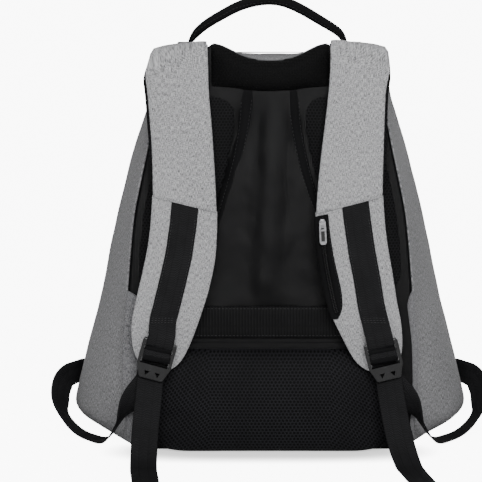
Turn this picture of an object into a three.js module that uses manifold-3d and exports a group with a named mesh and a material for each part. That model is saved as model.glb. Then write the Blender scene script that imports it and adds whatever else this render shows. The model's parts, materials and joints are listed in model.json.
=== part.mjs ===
// Anti theft backpack standing on its base, wearer's side towards -Y. Millimetres, +Z up.
// The origin is on the floor, in the middle of the base and on the symmetry plane of the body.
import * as THREE from 'three';
import { mergeVertices } from 'three/addons/utils/BufferGeometryUtils.js';
import Module from 'manifold-3d';

const wasm = await Module();
wasm.setup();

// Overall sizes of the body
const bodyHeight = 398;
const bodyWidth = 408;
const bodyDepth = 158;
const backShare = 0.38; // share of the depth that lies behind the origin, on the wearer's side

// Cloth, padding and fit
const wall = 2.5;
const clearance = 0.3;
const panelThickness = 5.7;
const meshPadThickness = 7;
const collarThickness = 12;
const lumbarThickness = 18;
const bandThickness = 1.8;
const sleeveGap = 5.5;
const bindingThickness = 3.4;
const pipingDiameter = 3;

// Shoulder straps
const strapStandoff = 30;
const strapCore = 7;
const lowerCover = 1.8;
const upperCover = 2.8;

// Webbing and buckles
const webbingWidth = 27;
const webbingThickness = 1.6;
const buckleWidth = 34;
const buckleHeight = 40;
const buckleThickness = 5;

// Handle
const handleBand = 11;
const handleDepth = 20;
const handleRise = 48;

// Zip on the right strap
const coilWidth = 5;
const coilHeight = 1.6;
const sliderWidth = 6.4;
const sliderLength = 9;
const pullerWidth = 7;
const pullerLength = 21;
const pullerThickness = 1.6;

const halfWidth = bodyWidth / 2;
const backY = -bodyDepth * backShare;
const panelBackY = backY - clearance;
const faceY = panelBackY - panelThickness;
const pieceY = faceY - clearance;

const group = new THREE.Group();
group.name = 'anti_theft_backpack';

const looks = {
  greyCloth: { color: 0x9b9b9c, roughness: 0.92, metalness: 0 },
  blackCloth: { color: 0x17171a, roughness: 0.85, metalness: 0 },
  blackMesh: { color: 0x101012, roughness: 0.9, metalness: 0 },
  blackNylon: { color: 0x1b1b1e, roughness: 0.6, metalness: 0 },
  webbing: { color: 0x141416, roughness: 0.75, metalness: 0 },
  plastic: { color: 0x0e0e10, roughness: 0.4, metalness: 0 },
  metal: { color: 0xb8b9bb, roughness: 0.3, metalness: 1 },
  paleTrim: { color: 0x8d8d8f, roughness: 0.8, metalness: 0 },
};

// Smooth curve through the rows of a table, without overshoot
function curve(table, keyColumn, valueColumn) {
  const rows = [...table].sort((a, b) => a[keyColumn] - b[keyColumn]);
  const x = rows.map((row) => row[keyColumn]);
  const y = rows.map((row) => row[valueColumn]);
  const last = x.length - 1;
  const slope = [];
  for (let i = 0; i < last; i += 1) slope.push((y[i + 1] - y[i]) / (x[i + 1] - x[i]));
  const tangent = x.map((_, i) => {
    if (i === 0) return slope[0];
    if (i === last) return slope[last - 1];
    if (slope[i - 1] * slope[i] <= 0) return 0;
    return (2 * slope[i - 1] * slope[i]) / (slope[i - 1] + slope[i]);
  });
  return (at) => {
    const t = Math.min(Math.max(at, x[0]), x[last]);
    let i = 0;
    while (i < last - 1 && t > x[i + 1]) i += 1;
    const step = x[i + 1] - x[i];
    const s = (t - x[i]) / step;
    const s2 = s * s;
    const s3 = s2 * s;
    return y[i] * (2 * s3 - 3 * s2 + 1) + tangent[i] * step * (s3 - 2 * s2 + s)
      + y[i + 1] * (3 * s2 - 2 * s3) + tangent[i + 1] * step * (s3 - s2);
  };
}

function named(columns, rows) {
  return rows.map((row) => Object.fromEntries(columns.map((column, i) => [column, row[i]])));
}

const mix = (a, b, t) => a + (b - a) * t;

function volumeOf(points, faces) {
  let sum = 0;
  const cross = new THREE.Vector3();
  for (const [a, b, c] of faces) {
    sum += points[a].dot(cross.crossVectors(points[b], points[c])) / 6;
  }
  return sum;
}

function geometryOf(points, faces) {
  const outward = volumeOf(points, faces) > 0;
  const index = faces.flatMap(([a, b, c]) => (outward ? [a, b, c] : [a, c, b]));
  const geometry = new THREE.BufferGeometry();
  geometry.setAttribute('position', new THREE.Float32BufferAttribute(points.flatMap((p) => [p.x, p.y, p.z]), 3));
  geometry.setIndex(index);
  return geometry;
}

function addPiece(name, geometry, look) {
  geometry.computeVertexNormals();
  const mesh = new THREE.Mesh(geometry, new THREE.MeshStandardMaterial({ ...look }));
  mesh.name = name;
  group.add(mesh);
  return mesh;
}

// Closed layer between a back and a front surface. map(u, v, side) gives a point, side 0 is the back.
function layer(map, alongCount, acrossCount) {
  const points = [];
  const at = (side, i, j) => (side * (alongCount + 1) + i) * (acrossCount + 1) + j;
  for (let side = 0; side < 2; side += 1) {
    for (let i = 0; i <= alongCount; i += 1) {
      for (let j = 0; j <= acrossCount; j += 1) points.push(map(i / alongCount, j / acrossCount, side));
    }
  }
  const faces = [];
  const quad = (a, b, c, d) => faces.push([a, b, c], [a, c, d]);
  for (let i = 0; i < alongCount; i += 1) {
    for (let j = 0; j < acrossCount; j += 1) {
      quad(at(1, i, j), at(1, i, j + 1), at(1, i + 1, j + 1), at(1, i + 1, j));
      quad(at(0, i, j), at(0, i + 1, j), at(0, i + 1, j + 1), at(0, i, j + 1));
    }
  }
  for (let i = 0; i < alongCount; i += 1) {
    quad(at(1, i, 0), at(1, i + 1, 0), at(0, i + 1, 0), at(0, i, 0));
    quad(at(1, i, acrossCount), at(0, i, acrossCount), at(0, i + 1, acrossCount), at(1, i + 1, acrossCount));
  }
  for (let j = 0; j < acrossCount; j += 1) {
    quad(at(1, 0, j), at(0, 0, j), at(0, 0, j + 1), at(1, 0, j + 1));
    quad(at(1, alongCount, j), at(1, alongCount, j + 1), at(0, alongCount, j + 1), at(0, alongCount, j));
  }
  return geometryOf(points, faces);
}

// Closed body through a row of rings with equal point counts, capped flat at both ends
function loft(rings) {
  const count = rings[0].length;
  const points = rings.flat();
  const faces = [];
  for (let i = 0; i < rings.length - 1; i += 1) {
    for (let j = 0; j < count; j += 1) {
      const k = (j + 1) % count;
      faces.push([i * count + j, i * count + k, (i + 1) * count + k]);
      faces.push([i * count + j, (i + 1) * count + k, (i + 1) * count + j]);
    }
  }
  for (const end of [0, rings.length - 1]) {
    const middle = rings[end].reduce((sum, p) => sum.add(p), new THREE.Vector3()).divideScalar(count);
    points.push(middle);
    for (let j = 0; j < count; j += 1) {
      const k = (j + 1) % count;
      const a = end * count + j;
      const b = end * count + k;
      faces.push(end === 0 ? [points.length - 1, b, a] : [points.length - 1, a, b]);
    }
  }
  return geometryOf(points, faces);
}

function toManifold(geometry) {
  const numProp = 3;
  const vertProperties = new Float32Array(geometry.attributes.position.array);
  const triVerts = new Uint32Array(geometry.index.array);
  const mesh = new wasm.Mesh({ numProp, vertProperties, triVerts });
  mesh.merge();
  return new wasm.Manifold(mesh);
}

function fromManifold(body) {
  const mesh = body.getMesh();
  const geometry = new THREE.BufferGeometry();
  geometry.setAttribute('position', new THREE.Float32BufferAttribute(mesh.vertProperties, 3));
  geometry.setIndex(Array.from(mesh.triVerts));
  return geometry;
}

// Body: shares of the height, of the half width and of the depth in front of the rim
const bodyTable = named(['z', 'rim', 'ridge', 'ridgeY', 'frontY'], [
  [0.0, 0.62, 0.735, 0.62, 0.79],
  [0.024, 0.685, 0.88, 0.69, 0.89],
  [0.062, 0.70, 1.0, 0.75, 0.955],
  [0.1, 0.706, 0.985, 0.745, 0.98],
  [0.19, 0.716, 0.94, 0.70, 1.0],
  [0.26, 0.716, 0.903, 0.665, 0.99],
  [0.38, 0.695, 0.84, 0.6, 0.94],
  [0.505, 0.675, 0.784, 0.54, 0.85],
  [0.6, 0.655, 0.74, 0.5, 0.775],
  [0.69, 0.62, 0.694, 0.45, 0.695],
  [0.765, 0.588, 0.655, 0.41, 0.625],
  [0.84, 0.56, 0.612, 0.37, 0.55],
  [0.9, 0.54, 0.58, 0.34, 0.49],
  [0.96, 0.53, 0.565, 0.31, 0.44],
  [0.99, 0.51, 0.54, 0.29, 0.405],
  [1.0, 0.48, 0.505, 0.27, 0.375],
]);
const rimShare = curve(bodyTable, 'z', 'rim');
const ridgeShare = curve(bodyTable, 'z', 'ridge');
const ridgeDepth = curve(bodyTable, 'z', 'ridgeY');
const frontDepth = curve(bodyTable, 'z', 'frontY');
const rimAt = (z) => halfWidth * rimShare(z / bodyHeight);

const sideSteps = 4;
const frontSteps = 7;
function bodyRing(z, inset) {
  const share = Math.min(Math.max(z / bodyHeight, 0), 1);
  const rim = halfWidth * rimShare(share) - inset;
  const ridge = halfWidth * ridgeShare(share) - inset;
  const ridgeY = backY + bodyDepth * ridgeDepth(share);
  const frontY = backY + bodyDepth * frontDepth(share) - inset;
  const half = inset > 0 ? [[rim, backY - 2 * panelThickness]] : [];
  for (let i = 0; i <= sideSteps; i += 1) {
    const t = i / sideSteps;
    half.push([mix(rim, ridge, Math.sin((t * Math.PI) / 2)), mix(backY, ridgeY, t)]);
  }
  for (let i = 1; i <= frontSteps; i += 1) {
    const angle = (i / frontSteps) * (Math.PI / 2);
    const x = ridge * Math.cos(angle) ** 0.62;
    half.push([i === frontSteps ? 0 : x, ridgeY + (frontY - ridgeY) * Math.sin(angle) ** 0.8]);
  }
  const mirrored = half.slice(0, -1).reverse().map(([x, y]) => [-x, y]);
  return [...half, ...mirrored].map(([x, y]) => new THREE.Vector3(x, y, z));
}

const bodyLevels = [0, 0.01, 0.024, 0.042, 0.062, 0.08, 0.12, 0.19, 0.26, 0.38, 0.505, 0.6, 0.69, 0.765, 0.84,
  0.9, 0.935, 0.96, 0.98, 0.99, 1];
const outerBody = loft(bodyLevels.map((share) => bodyRing(share * bodyHeight, 0)));
const innerBody = loft(bodyLevels.map((share) => bodyRing(mix(wall, bodyHeight - wall, share), wall)));
const shell = toManifold(outerBody).subtract(toManifold(innerBody));
addPiece('body_shell', fromManifold(shell), looks.greyCloth);

// Back panel: same outline as the rim of the body, with a dip in the middle of its top edge
const topEdgeTable = named(['x', 'z'], [
  [0, 0.977], [0.05, 0.977], [0.1, 0.984], [0.16, 0.995], [0.19, 1.003], [0.245, 1.016], [0.27, 1.018],
  [0.29, 1.006], [0.32, 0.998], [0.4, 0.994], [1, 0.99],
]);
const topEdgeShare = curve(topEdgeTable, 'x', 'z');
const topEdgeAt = (x) => bodyHeight * topEdgeShare(Math.abs(x) / halfWidth);
const panelFoot = 0.006 * bodyHeight;
const panelMap = (u, v, side) => {
  const across = 2 * v - 1;
  const z0 = mix(panelFoot, bodyHeight * 0.998, u);
  const x = across * rimAt(z0);
  const z = z0 - u ** 6 * (bodyHeight * 0.998 - topEdgeAt(x));
  const rounding = side === 1 ? panelThickness * 0.35 * (Math.abs(across) ** 14) : 0;
  return new THREE.Vector3(x, side === 1 ? faceY + rounding : panelBackY, z);
};
addPiece('back_panel', layer(panelMap, 13, 14), looks.blackNylon);

// Pads and strips on the panel. Edges are shares of the half width, levels shares of the height.
// crown(s, t) is the share of the thickness left at a place, s up and t across, both 0 to 1.
function panelPad(name, look, level, left, right, thickness, crown, counts, standoff = 0) {
  const map = (u, v, side) => {
    const z = bodyHeight * mix(level[0], level[1], u);
    const x = halfWidth * mix(left(u), right(u), v);
    const lift = side === 1 ? thickness * crown(u, v) : 0;
    return new THREE.Vector3(x, pieceY - standoff - lift, z);
  };
  addPiece(name, layer(map, counts[0], counts[1]), look);
}
const pillow = (power, edge) => (u, v) => {
  const round = (1 - Math.abs(2 * u - 1) ** power) * (1 - Math.abs(2 * v - 1) ** power);
  return edge + (1 - edge) * round;
};

// Collar pad: follows the dip of the top edge
const collarHalf = 0.272;
const collarLow = 0.912;
addPiece('collar_pad', layer((u, v, side) => {
  const x = halfWidth * collarHalf * (2 * v - 1);
  const top = topEdgeAt(x) - 2 * clearance;
  const low = bodyHeight * (collarLow - 0.006 * Math.cos((2 * v - 1) * Math.PI));
  const lift = side === 1 ? collarThickness * pillow(4, 0.3)(u, v) : 0;
  return new THREE.Vector3(x, pieceY - lift, mix(low, top, u));
}, 6, 14), looks.blackMesh);

// Inner edges of the side pads, the same table for both sides, and the binding strips along them
const sidePadTable = named(['z', 'mesh', 'nylon'], [
  [0.38, 0.33, 0.3],
  [0.46, 0.315, 0.285],
  [0.55, 0.285, 0.255],
  [0.62, 0.25, 0.205],
  [0.675, 0.214, 0.162],
  [0.74, 0.182, 0.128],
  [0.8, 0.158, 0.104],
  [0.85, 0.147, 0.088],
  [0.905, 0.145, 0.074],
]);
const meshEdge = curve(sidePadTable, 'z', 'mesh');
const nylonEdge = curve(sidePadTable, 'z', 'nylon');
const padLevel = [0.385, 0.902];
const gapShare = clearance / halfWidth;
for (const [side, sign] of [['left', -1], ['right', 1]]) {
  const levelAt = (u) => mix(padLevel[0], padLevel[1], u);
  const outer = (u) => {
    const corner = 0.09 * (1 - Math.min(u / 0.06, 1)) ** 2;
    return sign * (rimShare(levelAt(u)) - 0.022 - corner);
  };
  const inner = (u) => sign * (meshEdge(levelAt(u)) + gapShare);
  panelPad(`side_mesh_pad_${side}`, looks.blackMesh, padLevel, inner, outer, meshPadThickness,
    pillow(6, 0.25), [11, 6]);
  const stripOuter = (u) => sign * meshEdge(levelAt(u));
  const stripInner = (u) => sign * nylonEdge(levelAt(u));
  panelPad(`pad_binding_${side}`, looks.blackCloth, padLevel, stripInner, stripOuter, bindingThickness,
    (u, v) => 0.35 + 0.65 * Math.sin(Math.PI * mix(0.08, 0.92, v)), [11, 3]);
}

// Luggage band: stands off the panel and comes back to it at its sewn ends
const bandLevel = [0.293, 0.372];
const bandHalf = 0.64;
addPiece('luggage_band', layer((u, v, side) => {
  const across = 2 * v - 1;
  const free = 1 - Math.min(Math.max((Math.abs(across) - 0.9) / 0.08, 0), 1);
  const stand = sleeveGap * free * free * (3 - 2 * free);
  const y = pieceY - stand - side * bandThickness;
  return new THREE.Vector3(across * halfWidth * bandHalf, y, bodyHeight * mix(bandLevel[0], bandLevel[1], u));
}, 1, 40), looks.blackCloth);

// Seam binding between band and lumbar pad
const bindingLevel = [0.271, 0.288];
const bindingHalf = (u) => rimShare(mix(bindingLevel[0], bindingLevel[1], u)) - 0.02;
panelPad('seam_binding', looks.blackCloth, bindingLevel, (u) => -bindingHalf(u), bindingHalf, bindingThickness,
  (u) => 0.3 + 0.7 * Math.sin(Math.PI * mix(0.05, 0.95, u)), [3, 10]);

// Lumbar pad: thick, rounded lower corners
const lumbarLevel = [0.0015, 0.266];
const lumbarTable = named(['u', 'half'], [
  [0, 0.555], [0.02, 0.585], [0.06, 0.615], [0.12, 0.64], [0.25, 0.672], [0.5, 0.69], [0.8, 0.69], [1, 0.682],
]);
const lumbarHalf = curve(lumbarTable, 'u', 'half');
panelPad('lumbar_pad', looks.blackMesh, lumbarLevel, (u) => -lumbarHalf(u), lumbarHalf, lumbarThickness,
  (u, v) => {
    const below = u < 0.5 ? 1 - 0.4 * (1 - 2 * u) ** 8 : 1 - 0.84 * (2 * u - 1) ** 5;
    return 0.12 + 0.88 * below * (1 - Math.abs(2 * v - 1) ** 8) ** 0.6;
  }, [11, 16]);

// Pale piping along the top edge of the panel, between the straps
const pipingHalf = 0.275;
addPiece('top_piping', loft(Array.from({ length: 17 }, (_, i) => {
  const across = mix(-pipingHalf, pipingHalf, i / 16) * halfWidth;
  const radius = pipingDiameter / 2;
  const slope = (topEdgeAt(across + 1) - topEdgeAt(across - 1)) / 2;
  const lift = (radius + clearance) * Math.sqrt(1 + slope * slope);
  const centre = new THREE.Vector3(across, faceY + panelThickness * 0.45, topEdgeAt(across) + lift);
  return Array.from({ length: 6 }, (__, j) => {
    const angle = (j / 6) * 2 * Math.PI;
    return centre.clone().add(new THREE.Vector3(0, radius * Math.cos(angle), radius * Math.sin(angle)));
  });
})), looks.paleTrim);

// Handle: padded arch on the top face, shares of the half width and of the handle rise
const handleY = backY + bodyDepth * 0.2;
const handleTable = [
  [-0.388, 0.0], [-0.384, 0.05], [-0.376, 0.12], [-0.354, 0.24], [-0.33, 0.34], [-0.288, 0.48], [-0.232, 0.63],
  [-0.171, 0.79], [-0.098, 0.915], [0.0, 0.98], [0.0735, 0.925], [0.108, 0.86], [0.171, 0.71], [0.244, 0.5],
  [0.302, 0.335], [0.345, 0.19], [0.362, 0.09], [0.364, 0.0],
];
const tabThickness = 1.8;
const sewnLevel = bodyHeight + 0.5 * strapCore + upperCover + 5 * clearance;
const handleFoot = sewnLevel + tabThickness + 2 * clearance;
const handlePath = new THREE.CatmullRomCurve3(handleTable.map(([x, z]) => new THREE.Vector3(
  x * halfWidth, handleY, handleFoot + z * (handleRise - handleBand / 2),
)));
const handleRings = [];
const handleStations = 22;
for (let i = 0; i <= handleStations; i += 1) {
  const t = i / handleStations;
  const centre = handlePath.getPointAt(t);
  const along = handlePath.getTangentAt(t);
  if (i === 0) along.set(0, 0, 1);
  if (i === handleStations) along.set(0, 0, -1);
  const across = new THREE.Vector3(0, 1, 0);
  const out = new THREE.Vector3().crossVectors(across, along).normalize();
  const flat = Math.sin(Math.PI * Math.min(Math.max((t - 0.02) / 0.96, 0), 1)) ** 0.25;
  const high = (handleBand / 2) * mix(0.55, 1, flat);
  const wide = (handleDepth / 2) * mix(0.95, 1, flat);
  handleRings.push(Array.from({ length: 10 }, (_, j) => {
    const angle = (j / 10) * 2 * Math.PI;
    const a = Math.cos(angle);
    const b = Math.sin(angle);
    return centre.clone()
      .addScaledVector(across, wide * Math.sign(a) * Math.abs(a) ** 0.7)
      .addScaledVector(out, high * Math.sign(b) * Math.abs(b) ** 0.8);
  }));
}
addPiece('handle', loft(handleRings), looks.blackCloth);
for (const [side, inner, outer] of [['left', -0.355, -0.452], ['right', 0.335, 0.447]]) {
  addPiece(`handle_tab_${side}`, layer((u, v, face) => new THREE.Vector3(
    halfWidth * mix(inner, outer, v),
    handleY + mix(-0.5, 0.5, u) * handleDepth * 0.95,
    sewnLevel + clearance + face * tabThickness,
  ), 1, 1), looks.webbing);
}

// Shoulder straps. off: share of the standoff in front of the panel face, z and x of the outer and inner
// edge as shares of height and half width, thick: share of the core thickness, web: place of the webbing
// middle across the strap, 0 at the outer edge and 1 at the inner edge.
const strapColumns = ['at', 'off', 'zOuter', 'zInner', 'xOuter', 'xInner', 'thick', 'web'];
const strapTables = {
  left: named(strapColumns, [
    [0.0, -1.72, 1.0, 1.0, 0.49, 0.325, 0.5, 0.5],
    [0.045, -0.93, 1.0, 1.0, 0.515, 0.32, 0.5, 0.5],
    [0.065, -0.5, 1.003, 1.01, 0.55, 0.31, 0.75, 0.5],
    [0.08, -0.1, 0.999, 1.018, 0.575, 0.298, 1, 0.5],
    [0.105, 0.22, 0.982, 1.0, 0.598, 0.293, 1, 0.5],
    [0.13, 0.34, 0.965, 0.975, 0.602, 0.292, 1, 0.5],
    [0.2, 0.5, 0.915, 0.918, 0.59, 0.29, 1, 0.5],
    [0.3, 0.68, 0.842, 0.84, 0.578, 0.277, 1, 0.5],
    [0.4, 0.84, 0.76, 0.745, 0.566, 0.264, 1, 0.5],
    [0.5, 0.95, 0.654, 0.614, 0.563, 0.252, 1, 0.5],
    [0.6, 1.0, 0.56, 0.518, 0.577, 0.259, 1, 0.47],
    [0.7, 1.0, 0.468, 0.432, 0.612, 0.29, 1, 0.46],
    [0.78, 0.97, 0.394, 0.368, 0.646, 0.328, 1, 0.465],
    [0.86, 0.9, 0.326, 0.318, 0.67, 0.362, 0.9, 0.47],
    [0.92, 0.82, 0.27, 0.266, 0.662, 0.404, 0.7, 0.46],
    [0.97, 0.75, 0.232, 0.231, 0.622, 0.448, 0.55, 0.45],
    [1.0, 0.72, 0.214, 0.214, 0.57, 0.5, 0.45, 0.45],
  ]),
  right: named(strapColumns, [
    [0.0, -1.72, 1.0, 1.0, 0.485, 0.31, 0.5, 0.5],
    [0.045, -0.93, 1.0, 1.0, 0.51, 0.305, 0.5, 0.5],
    [0.065, -0.5, 1.005, 1.013, 0.545, 0.295, 0.75, 0.5],
    [0.08, -0.1, 1.004, 1.021, 0.57, 0.284, 1, 0.5],
    [0.105, 0.22, 0.984, 1.0, 0.585, 0.285, 1, 0.5],
    [0.13, 0.34, 0.965, 0.975, 0.578, 0.286, 1, 0.5],
    [0.2, 0.5, 0.915, 0.918, 0.556, 0.278, 1, 0.5],
    [0.3, 0.68, 0.842, 0.842, 0.55, 0.262, 1, 0.5],
    [0.4, 0.84, 0.76, 0.745, 0.545, 0.238, 1, 0.5],
    [0.5, 0.95, 0.654, 0.611, 0.541, 0.217, 1, 0.41],
    [0.6, 1.0, 0.56, 0.516, 0.556, 0.23, 1, 0.38],
    [0.7, 1.0, 0.468, 0.43, 0.587, 0.26, 1, 0.375],
    [0.78, 0.97, 0.394, 0.368, 0.61, 0.29, 1, 0.385],
    [0.86, 0.9, 0.326, 0.318, 0.636, 0.335, 0.9, 0.4],
    [0.92, 0.82, 0.27, 0.266, 0.64, 0.385, 0.7, 0.45],
    [0.97, 0.75, 0.232, 0.231, 0.61, 0.43, 0.55, 0.45],
    [1.0, 0.72, 0.214, 0.214, 0.565, 0.485, 0.45, 0.45],
  ]),
};
const seamAt = 0.5;
const topSeat = strapCore * 0.25 + 2 * clearance;

function strapSurface(side, sign) {
  const table = strapTables[side];
  const get = Object.fromEntries(strapColumns.slice(1).map((column) => [column, curve(table, 'at', column)]));
  const point = (u, v) => new THREE.Vector3(
    sign * halfWidth * mix(get.xOuter(u), get.xInner(u), v),
    faceY - strapStandoff * get.off(u),
    bodyHeight * mix(get.zOuter(u), get.zInner(u), v) + topSeat * (1 - Math.min(u / 0.16, 1) ** 2),
  );
  const normal = (u, v) => {
    const a = Math.max(u - 0.012, 0);
    const b = Math.min(u + 0.012, 1);
    const along = point(b, v).sub(point(a, v));
    const across = point(u, 1).sub(point(u, 0));
    return new THREE.Vector3().crossVectors(along, across).normalize().multiplyScalar(-sign);
  };
  const half = (u, v) => (strapCore / 2) * get.thick(u) * (1 - 0.7 * Math.abs(2 * v - 1) ** 5);
  const surface = (u, v, h) => point(u, v).addScaledVector(normal(u, v), h);
  return { get, point, normal, half, surface };
}

// Ribbon of webbing through stations of a centre, a width direction and a face normal
function ribbon(stations, width, thickness) {
  const last = stations.length - 1;
  return layer((u, v, side) => {
    const { centre, wide, out } = stations[Math.round(u * last)];
    return centre.clone().addScaledVector(wide, (v - 0.5) * width).addScaledVector(out, (side - 0.5) * thickness);
  }, last, 1);
}

function prism(corners, depth, bevel) {
  const shape = new THREE.Shape(corners.map(([x, y]) => new THREE.Vector2(x, y)));
  const geometry = new THREE.ExtrudeGeometry(shape, {
    depth: depth - 2 * bevel,
    bevelEnabled: bevel > 0,
    bevelThickness: bevel,
    bevelSize: bevel,
    bevelOffset: -bevel,
    bevelSegments: 2,
    curveSegments: 1,
  });
  geometry.translate(0, 0, bevel - depth / 2);
  geometry.deleteAttribute('normal');
  geometry.deleteAttribute('uv');
  return toManifold(mergeVertices(geometry, 1e-4));
}

// Ladder lock: two slots, a broad middle bar, and a lift tab with two small triangular holes
function ladderLock() {
  const w = buckleWidth / 2;
  const h = buckleHeight / 2;
  const slot = webbingWidth / 2 + 2.5 * clearance;
  const chamfer = buckleWidth * 0.045;
  let body = prism([
    [-w + chamfer, h], [w - chamfer, h], [w, h - 1.6 * chamfer], [w, -h * 0.3], [w * 0.85, -h * 0.62],
    [w * 0.71, -h * 0.95], [w * 0.59, -h], [-w * 0.59, -h], [-w * 0.71, -h * 0.95], [-w * 0.85, -h * 0.62],
    [-w, -h * 0.3], [-w, h - 1.6 * chamfer],
  ].reverse(), buckleThickness, buckleThickness * 0.14);
  const holes = [
    [[-slot, h * 0.44], [slot, h * 0.44], [slot, h * 0.76], [-slot, h * 0.76]],
    [[-slot, -h * 0.26], [slot, -h * 0.26], [slot, h * 0.06], [-slot, h * 0.06]],
    [[-w * 0.15, -h * 0.6], [-w * 0.46, -h * 0.6], [-w * 0.365, -h * 0.84]],
    [[w * 0.15, -h * 0.6], [w * 0.365, -h * 0.84], [w * 0.46, -h * 0.6]],
  ];
  for (const corners of holes) body = body.subtract(prism(corners, buckleThickness * 2, 0));
  return fromManifold(body);
}

function buckleFrame(side, sign, strap) {
  const at = { left: { u: 0.938, v: 0.44 }, right: { u: 0.94, v: 0.36 } }[side];
  const tilt = { left: 0.27, right: -0.24 }[side];
  const base = strap.point(at.u, at.v);
  const lean = 0.1;
  const up = new THREE.Vector3(Math.sin(tilt), -Math.sin(lean), Math.cos(tilt)).normalize();
  const out = new THREE.Vector3(0, -1, 0);
  out.addScaledVector(up, -out.dot(up)).normalize();
  const wide = new THREE.Vector3().crossVectors(up, out).normalize();
  const stand = strapCore / 2 + lowerCover + 2 * webbingThickness + buckleThickness / 2 + 8 * clearance;
  const centre = base.clone().addScaledVector(out, stand);
  const place = (x, up_, out_) => centre.clone()
    .addScaledVector(wide, x).addScaledVector(up, up_).addScaledVector(out, out_);
  return { centre, up, out, wide, place };
}

const half = buckleHeight / 2;
const layerStep = webbingThickness + clearance;

// Adjuster webbing beyond the buckle: side anchor, loop and free tail, the free tail.
// x of the half width, y of the depth from the origin, z in webbing widths above the floor.
const loopColumns = ['x', 'y', 'z', 'wx', 'wy', 'wz'];
const loopTable = named(loopColumns, [
  [0.925, 0.5, 2.0, -0.26, 0.12, 1],
  [0.985, 0.43, 2.0, -0.26, 0.12, 1],
  [1.02, 0.375, 1.96, -0.2, 0.12, 1],
  [1.058, 0.325, 1.85, 0.05, 0.1, 1],
  [1.08, 0.28, 1.5, 0.42, -0.1, 0.75],
  [1.082, 0.22, 1.1, 0.62, -0.45, 0.42],
  [1.062, 0.14, 0.7, 0.6, -0.75, 0.1],
  [1.015, 0.05, 0.33, 0.5, -0.85, 0],
  [0.955, -0.05, 0.12, 0.4, -0.9, 0],
  [0.885, -0.18, 0.1, 0.4, -0.9, 0],
  [0.815, -0.37, 0.3, 0.4, -0.9, 0.0],
  [0.76, -0.53, 0.9, 0.5, -0.85, 0.05],
  [0.7, -0.59, 1.7, 0.8, -0.5, 0.2],
  [0.635, -0.605, 2.4, 0.95, -0.1, 0.25],
]);

// Free tails: height as a share of the height where they leave the buckle, run towards the viewer as a share
// of the depth, and the place across as shares of the half width
const tailTable = named(['height', 'run', 'left', 'right'], [
  [0.86, 0.03, 0.583, 0.582],
  [0.62, 0.065, 0.592, 0.598],
  [0.4, 0.105, 0.6, 0.615],
  [0.2, 0.16, 0.604, 0.635],
  [0.06, 0.25, 0.603, 0.655],
  [0, 0.37, 0.597, 0.672],
  [0, 0.52, 0.585, 0.69],
  [0, 0.7, 0.572, 0.712],
]);

function adjusterStations(side, sign, lock) {
  const rough = loopTable.map((row) => ({
    centre: new THREE.Vector3(
      sign * halfWidth * row.x,
      row.y * bodyDepth,
      webbingWidth * row.z + webbingThickness / 2 + clearance,
    ),
    wide: new THREE.Vector3(sign * row.wx, row.wy, row.wz).normalize(),
  }));
  const back = -(buckleThickness / 2 + webbingThickness / 2 + clearance);
  const front = -back;
  const through = [
    [-half * 1.05, back - layerStep],
    [-half * 0.6, back - layerStep],
    [-half * 0.15, back - layerStep],
    [half * 0.15, back - layerStep * 0.5],
    [half * 0.3, back],
    [half * 0.43, back],
    [half * 0.51, back * 0.72],
    [half * 0.54, back * 0.28],
    [half * 0.54, front * 0.28],
    [half * 0.51, front * 0.72],
    [half * 0.43, front],
    [half * 0.25, front],
    [half * 0.07, front],
    [-half * 0.01, front * 0.72],
    [-half * 0.04, front * 0.28],
    [-half * 0.05, back * 0.28],
    [-half * 0.09, back * 0.72],
    [-half * 0.24, back],
    [-half * 0.6, back],
    [-half * 1.05, back],
  ];
  const inLock = through.map(([up, out]) => ({
    centre: lock.place(0, up, out),
    wide: lock.wide.clone().multiplyScalar(sign),
  }));
  const end = lock.place(0, -half * 1.05, back);
  const tail = tailTable.map((row) => ({
    centre: new THREE.Vector3(sign * halfWidth * row[side], end.y - row.run * bodyDepth, end.z * row.height),
    wide: new THREE.Vector3(sign, 0, 0),
  }));
  return { rough, inLock, tail };
}

function smoothStations(rough, perSpan) {
  const count = (rough.length - 1) * perSpan;
  const path = new THREE.CatmullRomCurve3(rough.map((s) => s.centre), false, 'centripetal');
  const widths = new THREE.CatmullRomCurve3(rough.map((s) => s.wide), false, 'centripetal');
  const stations = [];
  for (let i = 0; i <= count; i += 1) {
    const t = i / count;
    const along = path.getTangent(t);
    const wide = widths.getPoint(t).normalize();
    wide.addScaledVector(along, -wide.dot(along)).normalize();
    const out = new THREE.Vector3().crossVectors(along, wide).normalize();
    const centre = path.getPoint(t);
    const reach = (Math.abs(wide.z) * webbingWidth + Math.abs(out.z) * webbingThickness) / 2;
    centre.z = Math.max(centre.z, reach + clearance);
    stations.push({ centre, wide, out });
  }
  return stations;
}

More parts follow.
